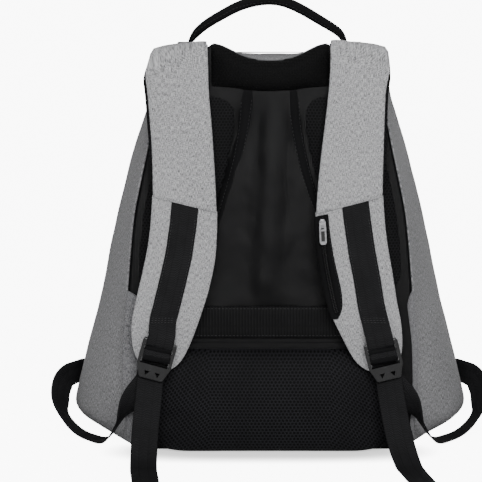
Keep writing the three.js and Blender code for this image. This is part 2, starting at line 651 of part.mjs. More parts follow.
for (const [side, sign] of [['left', -1], ['right', 1]]) {
  const strap = strapSurface(side, sign);
  addPiece(`strap_core_${side}`, layer((u, v, face) => (
    strap.surface(u, v, (face === 1 ? 1 : -1) * strap.half(u, v))
  ), 24, 6), looks.blackMesh);
  const seamGap = 0.004;
  addPiece(`strap_upper_cover_${side}`, layer((u, v, face) => {
    const uu = u * seamAt;
    const vv = mix(0.012, 0.988, v);
    return strap.surface(uu, vv, strap.half(uu, vv) + clearance + face * upperCover);
  }, 12, 6), looks.greyCloth);
  addPiece(`strap_lower_cover_${side}`, layer((u, v, face) => {
    const uu = mix(seamAt + seamGap, 0.995, u);
    const vv = mix(0.0, 1.0, v);
    return strap.surface(uu, vv, strap.half(uu, vv) + clearance + face * lowerCover);
  }, 16, 6), looks.greyCloth);

  const lock = buckleFrame(side, sign, strap);
  const lockMatrix = new THREE.Matrix4().makeBasis(lock.wide, lock.up, lock.wide.clone().cross(lock.up));
  lockMatrix.setPosition(lock.centre);
  const buckle = ladderLock();
  buckle.applyMatrix4(lockMatrix);
  addPiece(`ladder_lock_${side}`, buckle, looks.plastic);

  // Sewn webbing: on the lower cover from the seam down, then round the top bar of the buckle
  const sewn = [];
  for (let i = 0; i <= 8; i += 1) {
    const u = mix(seamAt + 2 * seamGap, 0.825, i / 8);
    const v = strap.get.web(u);
    const centre = strap.surface(u, v, strap.half(u, v) + lowerCover + (3.2 + 6 * (i / 8) ** 4) * clearance + webbingThickness / 2);
    const wide = strap.point(u, 1).sub(strap.point(u, 0)).normalize().multiplyScalar(-1);
    sewn.push({ centre, wide });
  }
  const front = buckleThickness / 2 + webbingThickness / 2 + clearance;
  const rounds = [[half * 1.3, front * 1.1], [half * 0.95, front]];
  for (let i = 0; i <= 8; i += 1) {
    const angle = (i / 8) * Math.PI;
    rounds.push([half * (0.775 - 0.115 * Math.sin(angle)), front * Math.cos(angle)]);
  }
  rounds.push([half * 0.95, -front], [half * 1.15, -front]);
  for (const [up, out] of rounds) sewn.push({ centre: lock.place(0, up, out), wide: lock.wide.clone().multiplyScalar(sign) });
  addPiece(`sewn_webbing_${side}`, ribbon(smoothStations(sewn, 2), webbingWidth, webbingThickness), looks.webbing);

  const { rough, inLock, tail } = adjusterStations(side, sign, lock);
  const all = smoothStations([...rough, ...inLock, ...tail], 2);
  addPiece(`adjuster_webbing_${side}`, ribbon(all, webbingWidth, webbingThickness), looks.webbing);
}

// Zip pocket on the right strap: panel, coil, slider and a puller that hangs from the slider
const zipStrap = strapSurface('right', 1);
const zipTop = seamAt + 0.006;
const zipEnd = 0.805;
const zipPanelThickness = 1;
const zipEdgeTable = named(['u', 'v'], [[0, 0.81], [0.35, 0.785], [0.7, 0.765], [0.85, 0.79], [0.94, 0.84], [1, 0.92]]);
const zipEdge = curve(zipEdgeTable, 'u', 'v');
const zipBase = (u, v) => zipStrap.half(u, v) + 2 * clearance + lowerCover;
addPiece('zip_panel_right', layer((u, v, side) => {
  const uu = mix(zipTop, zipEnd, u);
  const vv = mix(zipEdge(u), 0.985, v);
  return zipStrap.surface(uu, vv, zipBase(uu, vv) + clearance + side * zipPanelThickness);
}, 10, 2), looks.blackCloth);

const coilAt = 0.9;
const coilHalf = coilWidth / 2 / (zipStrap.point(zipTop, 0).distanceTo(zipStrap.point(zipTop, 1)));
const coilLift = 3 * clearance + zipPanelThickness;
addPiece('zip_coil_right', layer((u, v, side) => {
  const uu = mix(zipTop + 0.004, zipEnd - 0.02, u);
  const vv = mix(coilAt - coilHalf, coilAt + coilHalf, v);
  const lift = Math.sin(Math.PI * mix(0.12, 0.88, v));
  return zipStrap.surface(uu, vv, zipBase(uu, coilAt) + coilLift + side * coilHeight * lift);
}, 14, 2), looks.blackCloth);

const sliderAt = 0.525;
const sliderBody = 2.2;
const bridgeWidth = 2;
const bridgeWall = 1.2;
const bridgeOpening = 3;
const zipOut = zipStrap.normal(sliderAt, coilAt);
const zipUp = zipStrap.point(sliderAt - 0.01, coilAt).sub(zipStrap.point(sliderAt + 0.01, coilAt));
zipUp.addScaledVector(zipOut, -zipUp.dot(zipOut)).normalize();
const zipWide = new THREE.Vector3().crossVectors(zipUp, zipOut).normalize();
const zipSeat = zipStrap.surface(sliderAt, coilAt, zipBase(sliderAt, coilAt) + coilLift + coilHeight + 2 * clearance);
const zipMatrix = new THREE.Matrix4().makeBasis(zipWide, zipUp, zipOut).setPosition(zipSeat);

function block(width, length, low, high, up = 0) {
  const geometry = new THREE.BoxGeometry(width, length, high - low);
  geometry.deleteAttribute('normal');
  geometry.deleteAttribute('uv');
  geometry.translate(0, up, (low + high) / 2);
  return toManifold(mergeVertices(geometry, 1e-5));
}

function placed(body) {
  const geometry = fromManifold(body);
  geometry.applyMatrix4(zipMatrix);
  return geometry;
}

const bridgeTop = sliderBody + bridgeOpening + bridgeWall;
const bridgeLength = sliderLength * 0.78;
const bridge = block(bridgeWidth, bridgeLength, sliderBody - 0.4, bridgeTop)
  .subtract(block(bridgeWidth * 2, bridgeLength - 2 * bridgeWall, sliderBody - 0.5, bridgeTop - bridgeWall));
const sliderPlate = prism([
  [-sliderWidth / 2, sliderLength * 0.2], [-sliderWidth * 0.3, sliderLength / 2], [sliderWidth * 0.3, sliderLength / 2],
  [sliderWidth / 2, sliderLength * 0.2], [sliderWidth / 2, -sliderLength * 0.3],
  [sliderWidth * 0.28, -sliderLength / 2], [-sliderWidth * 0.28, -sliderLength / 2], [-sliderWidth / 2, -sliderLength * 0.3],
].reverse(), sliderBody, 0.3).translate([0, 0, sliderBody / 2]);
addPiece('zip_slider_right', placed(sliderPlate.add(bridge)), looks.metal);

const pinLevel = sliderBody + bridgeOpening / 2;
const eyeWidth = bridgeWidth + 4 * clearance;
const eyeLength = sliderLength * 0.5;
const pullerTip = pullerLength - pullerThickness / 2;
const pullerPlate = prism([
  [-pullerWidth * 0.42, pullerThickness / 2], [pullerWidth * 0.42, pullerThickness / 2],
  [pullerWidth / 2, -pullerTip * 0.2], [pullerWidth / 2, -pullerTip * 0.9], [pullerWidth * 0.3, -pullerTip],
  [-pullerWidth * 0.3, -pullerTip], [-pullerWidth / 2, -pullerTip * 0.9], [-pullerWidth / 2, -pullerTip * 0.2],
].reverse(), pullerThickness, 0.25)
  .subtract(block(eyeWidth, eyeLength, -pullerThickness, pullerThickness, -pullerThickness / 2 - eyeLength / 2))
  .subtract(block(pullerWidth * 0.5, pullerLength * 0.42, pullerThickness * 0.2, pullerThickness, -pullerTip * 0.62))
  .translate([0, 0, pinLevel]);
addPiece('zip_puller_right', placed(pullerPlate), looks.metal);

export default group;
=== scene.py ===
# %% [markdown]
# # A grey backpack with a padded black back
# The CAD frame gives every piece its place and size. This notebook dresses it: each soft piece gets its
# own mesh with folds, seams and stitches, and each hard piece gets a finish. Lengths are in metres.

# %% Load the frame
import math

import bmesh
import bpy
from mathutils import Matrix, Vector, noise
from mathutils.bvhtree import BVHTree
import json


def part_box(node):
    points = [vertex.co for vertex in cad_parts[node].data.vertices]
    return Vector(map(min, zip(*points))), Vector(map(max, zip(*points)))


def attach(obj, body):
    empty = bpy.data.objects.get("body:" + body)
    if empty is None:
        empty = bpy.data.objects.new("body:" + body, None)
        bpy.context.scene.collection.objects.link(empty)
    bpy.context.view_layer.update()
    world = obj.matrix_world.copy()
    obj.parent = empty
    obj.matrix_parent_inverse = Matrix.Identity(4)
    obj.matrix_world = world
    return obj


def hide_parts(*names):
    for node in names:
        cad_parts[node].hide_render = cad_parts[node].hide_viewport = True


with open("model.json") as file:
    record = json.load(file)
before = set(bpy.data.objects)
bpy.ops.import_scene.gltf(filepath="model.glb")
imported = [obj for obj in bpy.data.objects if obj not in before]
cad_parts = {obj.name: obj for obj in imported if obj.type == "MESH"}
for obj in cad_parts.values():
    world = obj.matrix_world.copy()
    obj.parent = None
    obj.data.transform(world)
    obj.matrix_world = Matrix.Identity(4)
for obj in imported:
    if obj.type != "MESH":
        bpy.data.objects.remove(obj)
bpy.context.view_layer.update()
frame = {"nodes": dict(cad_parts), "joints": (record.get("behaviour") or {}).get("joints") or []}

nodes = frame["nodes"]
print("nodes in the frame:", len(nodes))

# %% [markdown]
# The camera comes first, because every later choice is judged through it. The photo was taken from a
# little over the top of the bag with a long lens, so the sides hardly converge. A small shift keeps the
# bag where the photo has it, a little right of the middle.

# %% Camera
bpy.ops.object.camera_add(location=(0.0, -2.120, 0.497), rotation=(math.radians(82.12), 0.0, 0.0))
camera = bpy.context.object
camera.name = "photo_camera"
camera.data.lens = 156.1
camera.data.sensor_width = 36.0
camera.data.shift_x = -0.0602
bpy.context.scene.camera = camera
print("camera lens", camera.data.lens)

# %% [markdown]
# Blender's operators work on the picked object and its selected parts. Small helpers do the picking.

# %% Helpers to pick one object and to reach its mesh
def pick(piece):
    if bpy.context.object and bpy.context.object.mode != "OBJECT":
        bpy.ops.object.mode_set(mode="OBJECT")
    bpy.ops.object.select_all(action="DESELECT")
    piece.select_set(True)
    bpy.context.view_layer.objects.active = piece


def settle(piece):
    """Applies place, turn and scale, so that the object sits at the origin."""
    pick(piece)
    bpy.ops.object.transform_apply(location=True, rotation=True, scale=True)


def edit_all(piece, *steps):
    """Runs mesh steps on the whole of a piece, in edit mode."""
    pick(piece)
    bpy.ops.object.mode_set(mode="EDIT")
    bpy.ops.mesh.select_all(action="SELECT")
    for step in steps:
        step()
    bpy.ops.object.mode_set(mode="OBJECT")


def apply_modifiers(piece):
    pick(piece)
    for modifier in list(piece.modifiers):
        bpy.ops.object.modifier_apply(modifier=modifier.name)


def edge_where(piece, test):
    """Selects the edges whose two ends pass a test, in edit mode."""
    bpy.ops.object.mode_set(mode="OBJECT")
    for vertex in piece.data.vertices:
        vertex.select = False
    for face in piece.data.polygons:
        face.select = False
    for edge in piece.data.edges:
        edge.select = all(test(piece.data.vertices[i].co) for i in edge.vertices)
    bpy.ops.object.mode_set(mode="EDIT")
    bpy.ops.mesh.select_mode(type="EDGE")


# %% [markdown]
# A pale sweep stands in for the studio: a flat floor that curves up behind the bag, so no horizon shows.
# It starts as a plane, its rear edge is extruded upwards, and a bevel rounds the corner between them.

# %% Floor sweep
bpy.ops.object.select_all(action="DESELECT")
bpy.ops.mesh.primitive_plane_add(size=8.0, location=(0.0, -1.2, 0.0))
floor = bpy.context.object
floor.name = "floor_sweep"
settle(floor)
bpy.ops.object.mode_set(mode="EDIT")
edge_where(floor, lambda co: co.y > 2.7)
bpy.ops.mesh.extrude_region_move(TRANSFORM_OT_translate={"value": (0.0, 0.0, 4.0)})
edge_where(floor, lambda co: co.y > 2.7 and co.z < 0.1)
bpy.ops.mesh.bevel(offset=1.2, segments=16, affect="EDGES")
bpy.ops.object.mode_set(mode="OBJECT")
bpy.ops.object.shade_smooth()
print("floor faces:", len(floor.data.polygons))

# %% [markdown]
# The straps are bright and the sides of the bag fall off into shade, so the light is frontal: two big soft
# boxes beside the camera, a weak one over the bag, and a dim world that only opens the shadows.

# %% Lights
def soft_box(name, place, aim, size, power):
    bpy.ops.object.light_add(type="AREA", location=place)
    lamp = bpy.context.object
    lamp.name = name
    lamp.data.shape = "DISK"
    lamp.data.size = size
    lamp.data.energy = power
    lamp.rotation_euler = (Vector(aim) - Vector(place)).to_track_quat("-Z", "Y").to_euler()


soft_box("soft_box_left", (-0.25, -2.6, 1.45), (0.0, 0.0, 0.2), 0.8, 33.0)
soft_box("soft_box_right", (0.42, -2.5, 1.30), (0.0, 0.0, 0.2), 0.8, 38.0)
soft_box("soft_box_top", (0.0, 0.3, 1.9), (0.0, 0.0, 0.2), 1.2, 12.0)
world = bpy.data.worlds.new("studio")
bpy.context.scene.world = world
world.use_nodes = True
world.node_tree.nodes["Background"].inputs["Color"].default_value = (1.0, 1.0, 1.0, 1.0)
world.node_tree.nodes["Background"].inputs["Strength"].default_value = 0.11

# %% [markdown]
# Materials are built from a few shared effects. Each effect is a node group with named sockets that
# gives masks and heights only, so that each material can give it its own values.

# %% Helpers for nodes
def add(tree, kind, **facts):
    made = tree.nodes.new(kind)
    for fact, value in facts.items():
        setattr(made, fact, value)
    return made


def feed(tree, socket, value):
    if isinstance(value, bpy.types.NodeSocket):
        tree.links.new(value, socket)
    else:
        socket.default_value = value


def calc(tree, operation, first, second=0.0, third=0.0):
    made = add(tree, "ShaderNodeMath", operation=operation)
    feed(tree, made.inputs[0], first)
    feed(tree, made.inputs[1], second)
    feed(tree, made.inputs[2], third)
    return made.outputs[0]


def stretch(tree, vector, scale, turn=0.0):
    made = add(tree, "ShaderNodeMapping")
    feed(tree, made.inputs["Vector"], vector)
    made.inputs["Scale"].default_value = scale
    made.inputs["Rotation"].default_value = (0.0, 0.0, turn)
    return made.outputs[0]


def cloud(tree, vector, scale, detail=2.0):
    made = add(tree, "ShaderNodeTexNoise")
    feed(tree, made.inputs["Vector"], vector)
    feed(tree, made.inputs["Scale"], scale)
    made.inputs["Detail"].default_value = detail
    return made.outputs["Fac"]


def span(tree, value, low, high, to_low=0.0, to_high=1.0):
    made = add(tree, "ShaderNodeMapRange", interpolation_type="SMOOTHSTEP")
    feed(tree, made.inputs["Value"], value)
    made.inputs["From Min"].default_value = low
    made.inputs["From Max"].default_value = high
    made.inputs["To Min"].default_value = to_low
    made.inputs["To Max"].default_value = to_high
    return made.outputs[0]


def effect(name, inputs, outputs):
    """Starts a node group and returns its tree, its input sockets and a function that ends it."""
    tree = bpy.data.node_groups.new(name, "ShaderNodeTree")
    for socket, kind, value in inputs:
        made = tree.interface.new_socket(name=socket, in_out="INPUT", socket_type=kind)
        if kind == "NodeSocketFloat":
            made.default_value = value
    for socket in outputs:
        tree.interface.new_socket(name=socket, in_out="OUTPUT", socket_type="NodeSocketFloat")
    entry = add(tree, "NodeGroupInput")
    exit_node = add(tree, "NodeGroupOutput")

    def close(**values):
        for socket, value in values.items():
            feed(tree, exit_node.inputs[socket], value)

    return tree, entry.outputs, close


# %% [markdown]
# Heather cloth is woven from yarns that are dyed light and dark before spinning. Long thin clouds along
# both yarn directions give the streaks, and a finer cloud gives the specks.

# %% Heather weave
tree, given, close = effect("heather_weave", [("Vector", "NodeSocketVector", None)], ["Tone", "Height"])
warp = cloud(tree, stretch(tree, given["Vector"], (2500.0, 300.0, 700.0)), 1.0, 1.0)
weft = cloud(tree, stretch(tree, given["Vector"], (330.0, 2500.0, 700.0)), 1.0, 1.0)
speck = cloud(tree, stretch(tree, given["Vector"], (2300.0, 1900.0, 900.0)), 1.0, 0.0)
tone = calc(tree, "ADD", calc(tree, "MULTIPLY", warp, 0.45), calc(tree, "MULTIPLY", weft, 0.27))
tone = calc(tree, "ADD", tone, calc(tree, "MULTIPLY", speck, 0.28))
parts = add(tree, "ShaderNodeSeparateXYZ")
feed(tree, parts.inputs[0], given["Vector"])
thread_u = calc(tree, "SINE", calc(tree, "MULTIPLY", parts.outputs["X"], 6283.0))
thread_v = calc(tree, "SINE", calc(tree, "MULTIPLY", parts.outputs["Y"], 6283.0))
grid_height = calc(tree, "MULTIPLY", thread_u, thread_v)
height = calc(tree, "ADD", calc(tree, "MULTIPLY", grid_height, 0.18), tone)
close(Tone=span(tree, tone, 0.37, 0.63), Height=height)
print("effect made: heather_weave")

# %% [markdown]
# Air mesh is a knitted net over foam. Its holes sit on a lattice of equal triangles, and three waves at
# sixty degrees to each other add up to exactly such a lattice.

# %% Air mesh
def lattice(tree, x, y, pitch):
    wave = calc(tree, "DIVIDE", 4.0 * math.pi / math.sqrt(3.0), pitch)
    total = None
    for angle in (0.0, 60.0, 120.0):
        along = calc(tree, "ADD", calc(tree, "MULTIPLY", x, math.cos(math.radians(angle + 30.0))),
                     calc(tree, "MULTIPLY", y, math.sin(math.radians(angle + 30.0))))
        ripple = calc(tree, "COSINE", calc(tree, "MULTIPLY", along, wave))
        total = ripple if total is None else calc(tree, "ADD", total, ripple)
    return total


tree, given, close = effect("air_mesh", [
    ("Vector", "NodeSocketVector", None),
    ("Pitch", "NodeSocketFloat", 0.0033),
    ("Fan", "NodeSocketFloat", 0.0),
], ["Hole", "Height"])
parts = add(tree, "ShaderNodeSeparateXYZ")
feed(tree, parts.inputs[0], given["Vector"])
beyond = calc(tree, "MAXIMUM", calc(tree, "SUBTRACT", calc(tree, "ABSOLUTE", parts.outputs["X"]), 0.06), 0.0)
level = calc(tree, "ADD", parts.outputs["Z"], calc(tree, "MULTIPLY", beyond, given["Fan"]))
total = lattice(tree, parts.outputs["X"], level, given["Pitch"])
hole = span(tree, total, -0.5, 1.0)
close(Hole=hole, Height=calc(tree, "SUBTRACT", 1.0, hole))
print("effect made: air_mesh")

# %% [markdown]
# Webbing and elastic are ribbed. One group serves both: ribs run across or along, and every second row
# leans the other way, as in a herringbone.

# %% Ribbed weave
tree, given, close = effect("ribbed_weave", [
    ("Across", "NodeSocketFloat", 0.0),
    ("Along", "NodeSocketFloat", 0.0),
    ("Rib", "NodeSocketFloat", 0.0016),
    ("Column", "NodeSocketFloat", 0.0045),
    ("Lean", "NodeSocketFloat", 0.6),
], ["Rib", "Height"])
column = calc(tree, "PINGPONG", given["Across"], given["Column"])
shifted = calc(tree, "ADD", given["Along"], calc(tree, "MULTIPLY", column, given["Lean"]))
rib = calc(tree, "SINE", calc(tree, "MULTIPLY", calc(tree, "DIVIDE", shifted, given["Rib"]), 2.0 * math.pi))
rib = calc(tree, "ADD", calc(tree, "MULTIPLY", rib, 0.5), 0.5)
valley = span(tree, calc(tree, "DIVIDE", column, given["Column"]), 0.0, 0.16)
depth = calc(tree, "ADD", calc(tree, "MULTIPLY", valley, 0.6), 0.4)
close(Rib=rib, Height=calc(tree, "MULTIPLY", rib, depth))
print("effect made: ribbed_weave")

# %% [markdown]
# All used cloth is a little uneven in tone. A slow cloud gives that, and every material takes some of it.

# %% Uneven tone
tree, given, close = effect("uneven_tone", [
    ("Vector", "NodeSocketVector", None),
    ("Size", "NodeSocketFloat", 30.0),
], ["Patch", "Grain"])
slow = cloud(tree, given["Vector"], given["Size"], 3.0)
grain = cloud(tree, given["Vector"], 900.0, 2.0)
close(Patch=span(tree, slow, 0.3, 0.7), Grain=grain)
print("effect made: uneven_tone")

# %% [markdown]
# Each finish is one function that returns a material. The function places the shared groups, mixes two
# or three close colours with their masks, and turns their heights into a bump.

# %% Helpers for materials
def shader(name, roughness, specular=0.3, metallic=0.0, sheen=0.0):
    finish = bpy.data.materials.new(name)
    finish.use_nodes = True
    tree = finish.node_tree
    main = tree.nodes["Principled BSDF"]
    main.inputs["Roughness"].default_value = roughness
    main.inputs["Specular IOR Level"].default_value = specular
    main.inputs["Metallic"].default_value = metallic
    main.inputs["Sheen Weight"].default_value = sheen
    main.inputs["Sheen Roughness"].default_value = 0.4
    place = add(tree, "ShaderNodeTexCoord")
    return finish, tree, main, place


def group(tree, name, **values):
    made = add(tree, "ShaderNodeGroup")
    made.node_tree = bpy.data.node_groups[name]
    for socket, value in values.items():
        feed(tree, made.inputs[socket], value)
    return made.outputs


def blend_colour(tree, mask, dark, light):
    made = add(tree, "ShaderNodeMix", data_type="RGBA")
    feed(tree, made.inputs["Factor"], mask)
    for socket, colour in ((made.inputs[6], dark), (made.inputs[7], light)):
        if isinstance(colour, tuple):
            socket.default_value = (*colour, 1.0)
        else:
            tree.links.new(colour, socket)
    return made.outputs[2]


def raise_bump(tree, main, height, strength, distance):
    made = add(tree, "ShaderNodeBump")
    made.inputs["Strength"].default_value = strength
    made.inputs["Distance"].default_value = distance
    feed(tree, made.inputs["Height"], height)
    tree.links.new(made.outputs["Normal"], main.inputs["Normal"])


# %% [markdown]
# Straps, body and corners show the same cloth from one weave. The body's copy is darker and the corners' copy
# darker still: painted shade.

# %% Grey heather cloth
def heather_cloth(name, dark=(0.14, 0.14, 0.145), light=(0.50, 0.50, 0.51)):
    finish, tree, main, place = shader(name, 0.9, 0.15, sheen=0.1)
    weave = group(tree, "heather_weave", Vector=place.outputs["UV"])
    patch = group(tree, "uneven_tone", Vector=place.outputs["Object"], Size=14.0)
    base = blend_colour(tree, weave["Tone"], dark, light)
    shade = tuple(0.9 * c for c in light)
    tinted = blend_colour(tree, calc(tree, "MULTIPLY", patch["Patch"], 0.12), base, shade)
    tree.links.new(tinted, main.inputs["Base Color"])
    raise_bump(tree, main, weave["Height"], 0.35, 0.0006)
    return finish


grey_cloth = heather_cloth("grey_heather_cloth", (0.085, 0.085, 0.089), (0.57, 0.57, 0.58))
# The body and corner copies of the grey cloth are darker as painted shade.
body_painted_shade_cloth = heather_cloth("grey_heather_body_painted_shade", (0.05, 0.05, 0.053), (0.39, 0.39, 0.40))
return_painted_shade_cloth = heather_cloth("grey_heather_return_painted_shade", (0.042, 0.042, 0.044), (0.27, 0.27, 0.28))
print("finishes made:", grey_cloth.name, body_painted_shade_cloth.name, return_painted_shade_cloth.name)

# %% [markdown]
# One net serves three pads. The collar has the darkest thread, as painted shade; on the lumbar pad the rows
# fan out.

# %% Black air mesh
def net_cloth(name, pitch=0.0033, fan=0.0, thread=(0.0125, 0.0125, 0.014), depth=0.0012):
    finish, tree, main, place = shader(name, 0.7, 0.12)
    net = group(tree, "air_mesh", Vector=place.outputs["Object"], Pitch=pitch, Fan=fan)
    patch = group(tree, "uneven_tone", Vector=place.outputs["Object"], Size=25.0)
    thread_mix = blend_colour(tree, patch["Patch"], tuple(0.75 * c for c in thread), thread)
    base = blend_colour(tree, net["Hole"], thread_mix, (0.0012, 0.0012, 0.0014))
    tree.links.new(base, main.inputs["Base Color"])
    height = calc(tree, "ADD", net["Height"], calc(tree, "MULTIPLY", patch["Grain"], 0.2))
    raise_bump(tree, main, height, 0.9, depth)
    return finish


mesh_cloth = net_cloth("black_air_mesh", thread=(0.009, 0.009, 0.010))
# The collar's copy has a darker thread: painted shade.
collar_painted_shade_mesh = net_cloth("black_collar_mesh_painted_shade", thread=(0.0016, 0.0016, 0.0018))
lumbar_cloth = net_cloth("black_air_mesh_fanned", 0.0037, 0.5, thread=(0.0125, 0.0125, 0.0145))
print("finish made:", mesh_cloth.name, lumbar_cloth.name)

# %% [markdown]
# Nylon and trim are fine plain weaves. Only the nylon is smooth enough for a soft highlight.

# %% Black nylon and black cloth
def plain_cloth(name, dark, light, roughness, weave_pitch=0.0011, size=18.0, specular=0.12):
    finish, tree, main, place = shader(name, roughness, specular)
    patch = group(tree, "uneven_tone", Vector=place.outputs["Object"], Size=size)
    parts = add(tree, "ShaderNodeSeparateXYZ")
    tree.links.new(place.outputs["Object"], parts.inputs[0])
    side = calc(tree, "ADD", parts.outputs["X"], parts.outputs["Y"])
    ribs = group(tree, "ribbed_weave", Across=side, Along=parts.outputs["Z"], Rib=weave_pitch,
                 Column=weave_pitch, Lean=0.5)
    tree.links.new(blend_colour(tree, patch["Patch"], dark, light), main.inputs["Base Color"])
    uneven = calc(tree, "ADD", calc(tree, "MULTIPLY", patch["Patch"], 0.12), roughness - 0.06)
    tree.links.new(uneven, main.inputs["Roughness"])
    height = calc(tree, "ADD", ribs["Height"], calc(tree, "MULTIPLY", patch["Grain"], 0.8))
    raise_bump(tree, main, height, 0.3, 0.0004)
    return finish


nylon = plain_cloth("black_nylon", (0.0022, 0.0022, 0.0025), (0.0048, 0.0048, 0.0053), 0.36, 0.0008, 9.0, 0.1)
trim_cloth = plain_cloth("black_trim_cloth", (0.0032, 0.0032, 0.0036), (0.0062, 0.0062, 0.0068), 0.72,
                         specular=0.08)
pale_piping = plain_cloth("pale_piping", (0.10, 0.10, 0.104), (0.17, 0.17, 0.175), 0.8)
print("finish made:", nylon.name, trim_cloth.name, pale_piping.name)

# %% [markdown]
# Webbing has leaning ribs along the ribbon. The elastic band is straight, so its ribs simply run upright.

# %% Black webbing and ribbed elastic
def webbing_cloth(name, rib, column, lean, dark, light, upright=False):
    finish, tree, main, place = shader(name, 0.68, 0.14)
    parts = add(tree, "ShaderNodeSeparateXYZ")
    if upright:
        tree.links.new(place.outputs["Object"], parts.inputs[0])
        across, along = parts.outputs["Z"], parts.outputs["X"]
    else:
        tree.links.new(place.outputs["UV"], parts.inputs[0])
        across, along = parts.outputs["X"], parts.outputs["Y"]
    ribs = group(tree, "ribbed_weave", Across=across, Along=along, Rib=rib, Column=column, Lean=lean)
    patch = group(tree, "uneven_tone", Vector=place.outputs["Object"], Size=40.0)
    wear = calc(tree, "ADD", calc(tree, "MULTIPLY", patch["Patch"], 0.4), 0.6)
    mask = calc(tree, "MULTIPLY", ribs["Height"], wear)
    tree.links.new(blend_colour(tree, mask, dark, light), main.inputs["Base Color"])
    height = calc(tree, "ADD", ribs["Height"], calc(tree, "MULTIPLY", patch["Grain"], 0.25))
    raise_bump(tree, main, height, 0.6, 0.0005)
    return finish


webbing = webbing_cloth("black_webbing", 0.0017, 0.0045, 0.35,
                        (0.0032, 0.0032, 0.0036), (0.0155, 0.0155, 0.017))
elastic = webbing_cloth("black_ribbed_elastic", 0.003, 0.016, 0.0,
                        (0.0012, 0.0012, 0.0014), (0.0068, 0.0068, 0.0074), True)
print("finish made:", webbing.name, elastic.name)

# %% [markdown]
# Hard pieces are plain colours with a gloss that varies a little. The floor paint is made here as well.

# %% Moulded plastic, cast zinc and thread
def hard_finish(name, dark, light, roughness, metallic=0.0, size=120.0, bump=0.15):
    finish, tree, main, place = shader(name, roughness, 0.5, metallic)
    patch = group(tree, "uneven_tone", Vector=place.outputs["Object"], Size=size)
    tree.links.new(blend_colour(tree, patch["Patch"], dark, light), main.inputs["Base Color"])
    uneven = calc(tree, "ADD", calc(tree, "MULTIPLY", patch["Grain"], 0.16), roughness - 0.08)
    tree.links.new(uneven, main.inputs["Roughness"])
    raise_bump(tree, main, patch["Grain"], bump, 0.0002)
    return finish


plastic = hard_finish("black_moulded_plastic", (0.0035, 0.0035, 0.0038), (0.007, 0.007, 0.0076), 0.34)
zinc = hard_finish("cast_zinc", (0.30, 0.30, 0.31), (0.48, 0.48, 0.50), 0.30, 1.0, 300.0, 0.05)
thread = hard_finish("black_thread", (0.010, 0.010, 0.011), (0.024, 0.024, 0.026), 0.6, 0.0, 400.0)
grey_thread = hard_finish("grey_thread", (0.20, 0.20, 0.205), (0.34, 0.34, 0.35), 0.7, 0.0, 400.0)
floor_paint = hard_finish("pale_floor", (0.86, 0.86, 0.86), (0.9, 0.9, 0.9), 0.7, 0.0, 2.0, 0.02)
floor_tree = floor_paint.node_tree
seen = add(floor_tree, "ShaderNodeLightPath").outputs["Is Camera Ray"]
floor_place = add(floor_tree, "ShaderNodeTexCoord")
floor_axes = add(floor_tree, "ShaderNodeSeparateXYZ")
floor_tree.links.new(floor_place.outputs["Object"], floor_axes.inputs[0])
# The floor glows white for the camera, except in an oval under the bag, where the glow fades out: that grey
# oval is a painted shadow, and the floor's real shade shows inside it.
oval_half_x, oval_half_y, oval_nearer = 0.165, 0.050, 0.070
side_x = calc(floor_tree, "ABSOLUTE", calc(floor_tree, "DIVIDE", floor_axes.outputs["X"], oval_half_x))
far_x = calc(floor_tree, "POWER", side_x, 4.0)
from_middle = calc(floor_tree, "ADD", floor_axes.outputs["Y"], oval_nearer)
near_y = calc(floor_tree, "DIVIDE", from_middle, oval_half_y)
far_y = calc(floor_tree, "POWER", calc(floor_tree, "ABSOLUTE", near_y), 2.0)
away = span(floor_tree, calc(floor_tree, "ADD", far_x, far_y), 0.1, 1.3)
lit = calc(floor_tree, "ADD", calc(floor_tree, "MULTIPLY", away, 0.9), 0.1)
glow = blend_colour(floor_tree, calc(floor_tree, "MULTIPLY", seen, lit), (0.0, 0.0, 0.0), (1.0, 1.0, 1.0))
floor_tree.links.new(glow, floor_tree.nodes["Principled BSDF"].inputs["Emission Color"])
floor_tree.nodes["Principled BSDF"].inputs["Emission Strength"].default_value = 9.0
floor.data.materials.append(floor_paint)
print("finishes in all:", len(bpy.data.materials))

# %% [markdown]
# A short table becomes a shape through a curve that meets every row and never swings past one.

# %% Smooth curves through the rows of a table
def smooth_curve(rows, column):
    x = [row[0] for row in rows]
    y = [row[column] for row in rows]
    last = len(x) - 1
    slope = [(y[i + 1] - y[i]) / (x[i + 1] - x[i]) for i in range(last)]
    tangent = [slope[0]]
    for i in range(1, last):
        flat = slope[i - 1] * slope[i] <= 0
        tangent.append(0.0 if flat else 2 * slope[i - 1] * slope[i] / (slope[i - 1] + slope[i]))
    tangent.append(slope[-1])

    def value(at):
        t = min(max(at, x[0]), x[-1])
        i = 0
        while i < last - 1 and t > x[i + 1]:
            i += 1
        step = x[i + 1] - x[i]
        s = (t - x[i]) / step
        return (y[i] * (2 * s**3 - 3 * s**2 + 1) + tangent[i] * step * (s**3 - 2 * s**2 + s)
                + y[i + 1] * (3 * s**2 - 2 * s**3) + tangent[i + 1] * step * (s**3 - s**2))

    return value


def mix(a, b, t):
    return a + (b - a) * t


# %% [markdown]
# The bag is a lofted shell. Each row of this table is one level: how wide the open rim at the back is,
# how wide the widest ridge is, and how far from the rim the ridge and the front lie, all as shares of
# the named sizes. A grid is wrapped round the levels, closed over the base and the top, and thickened.

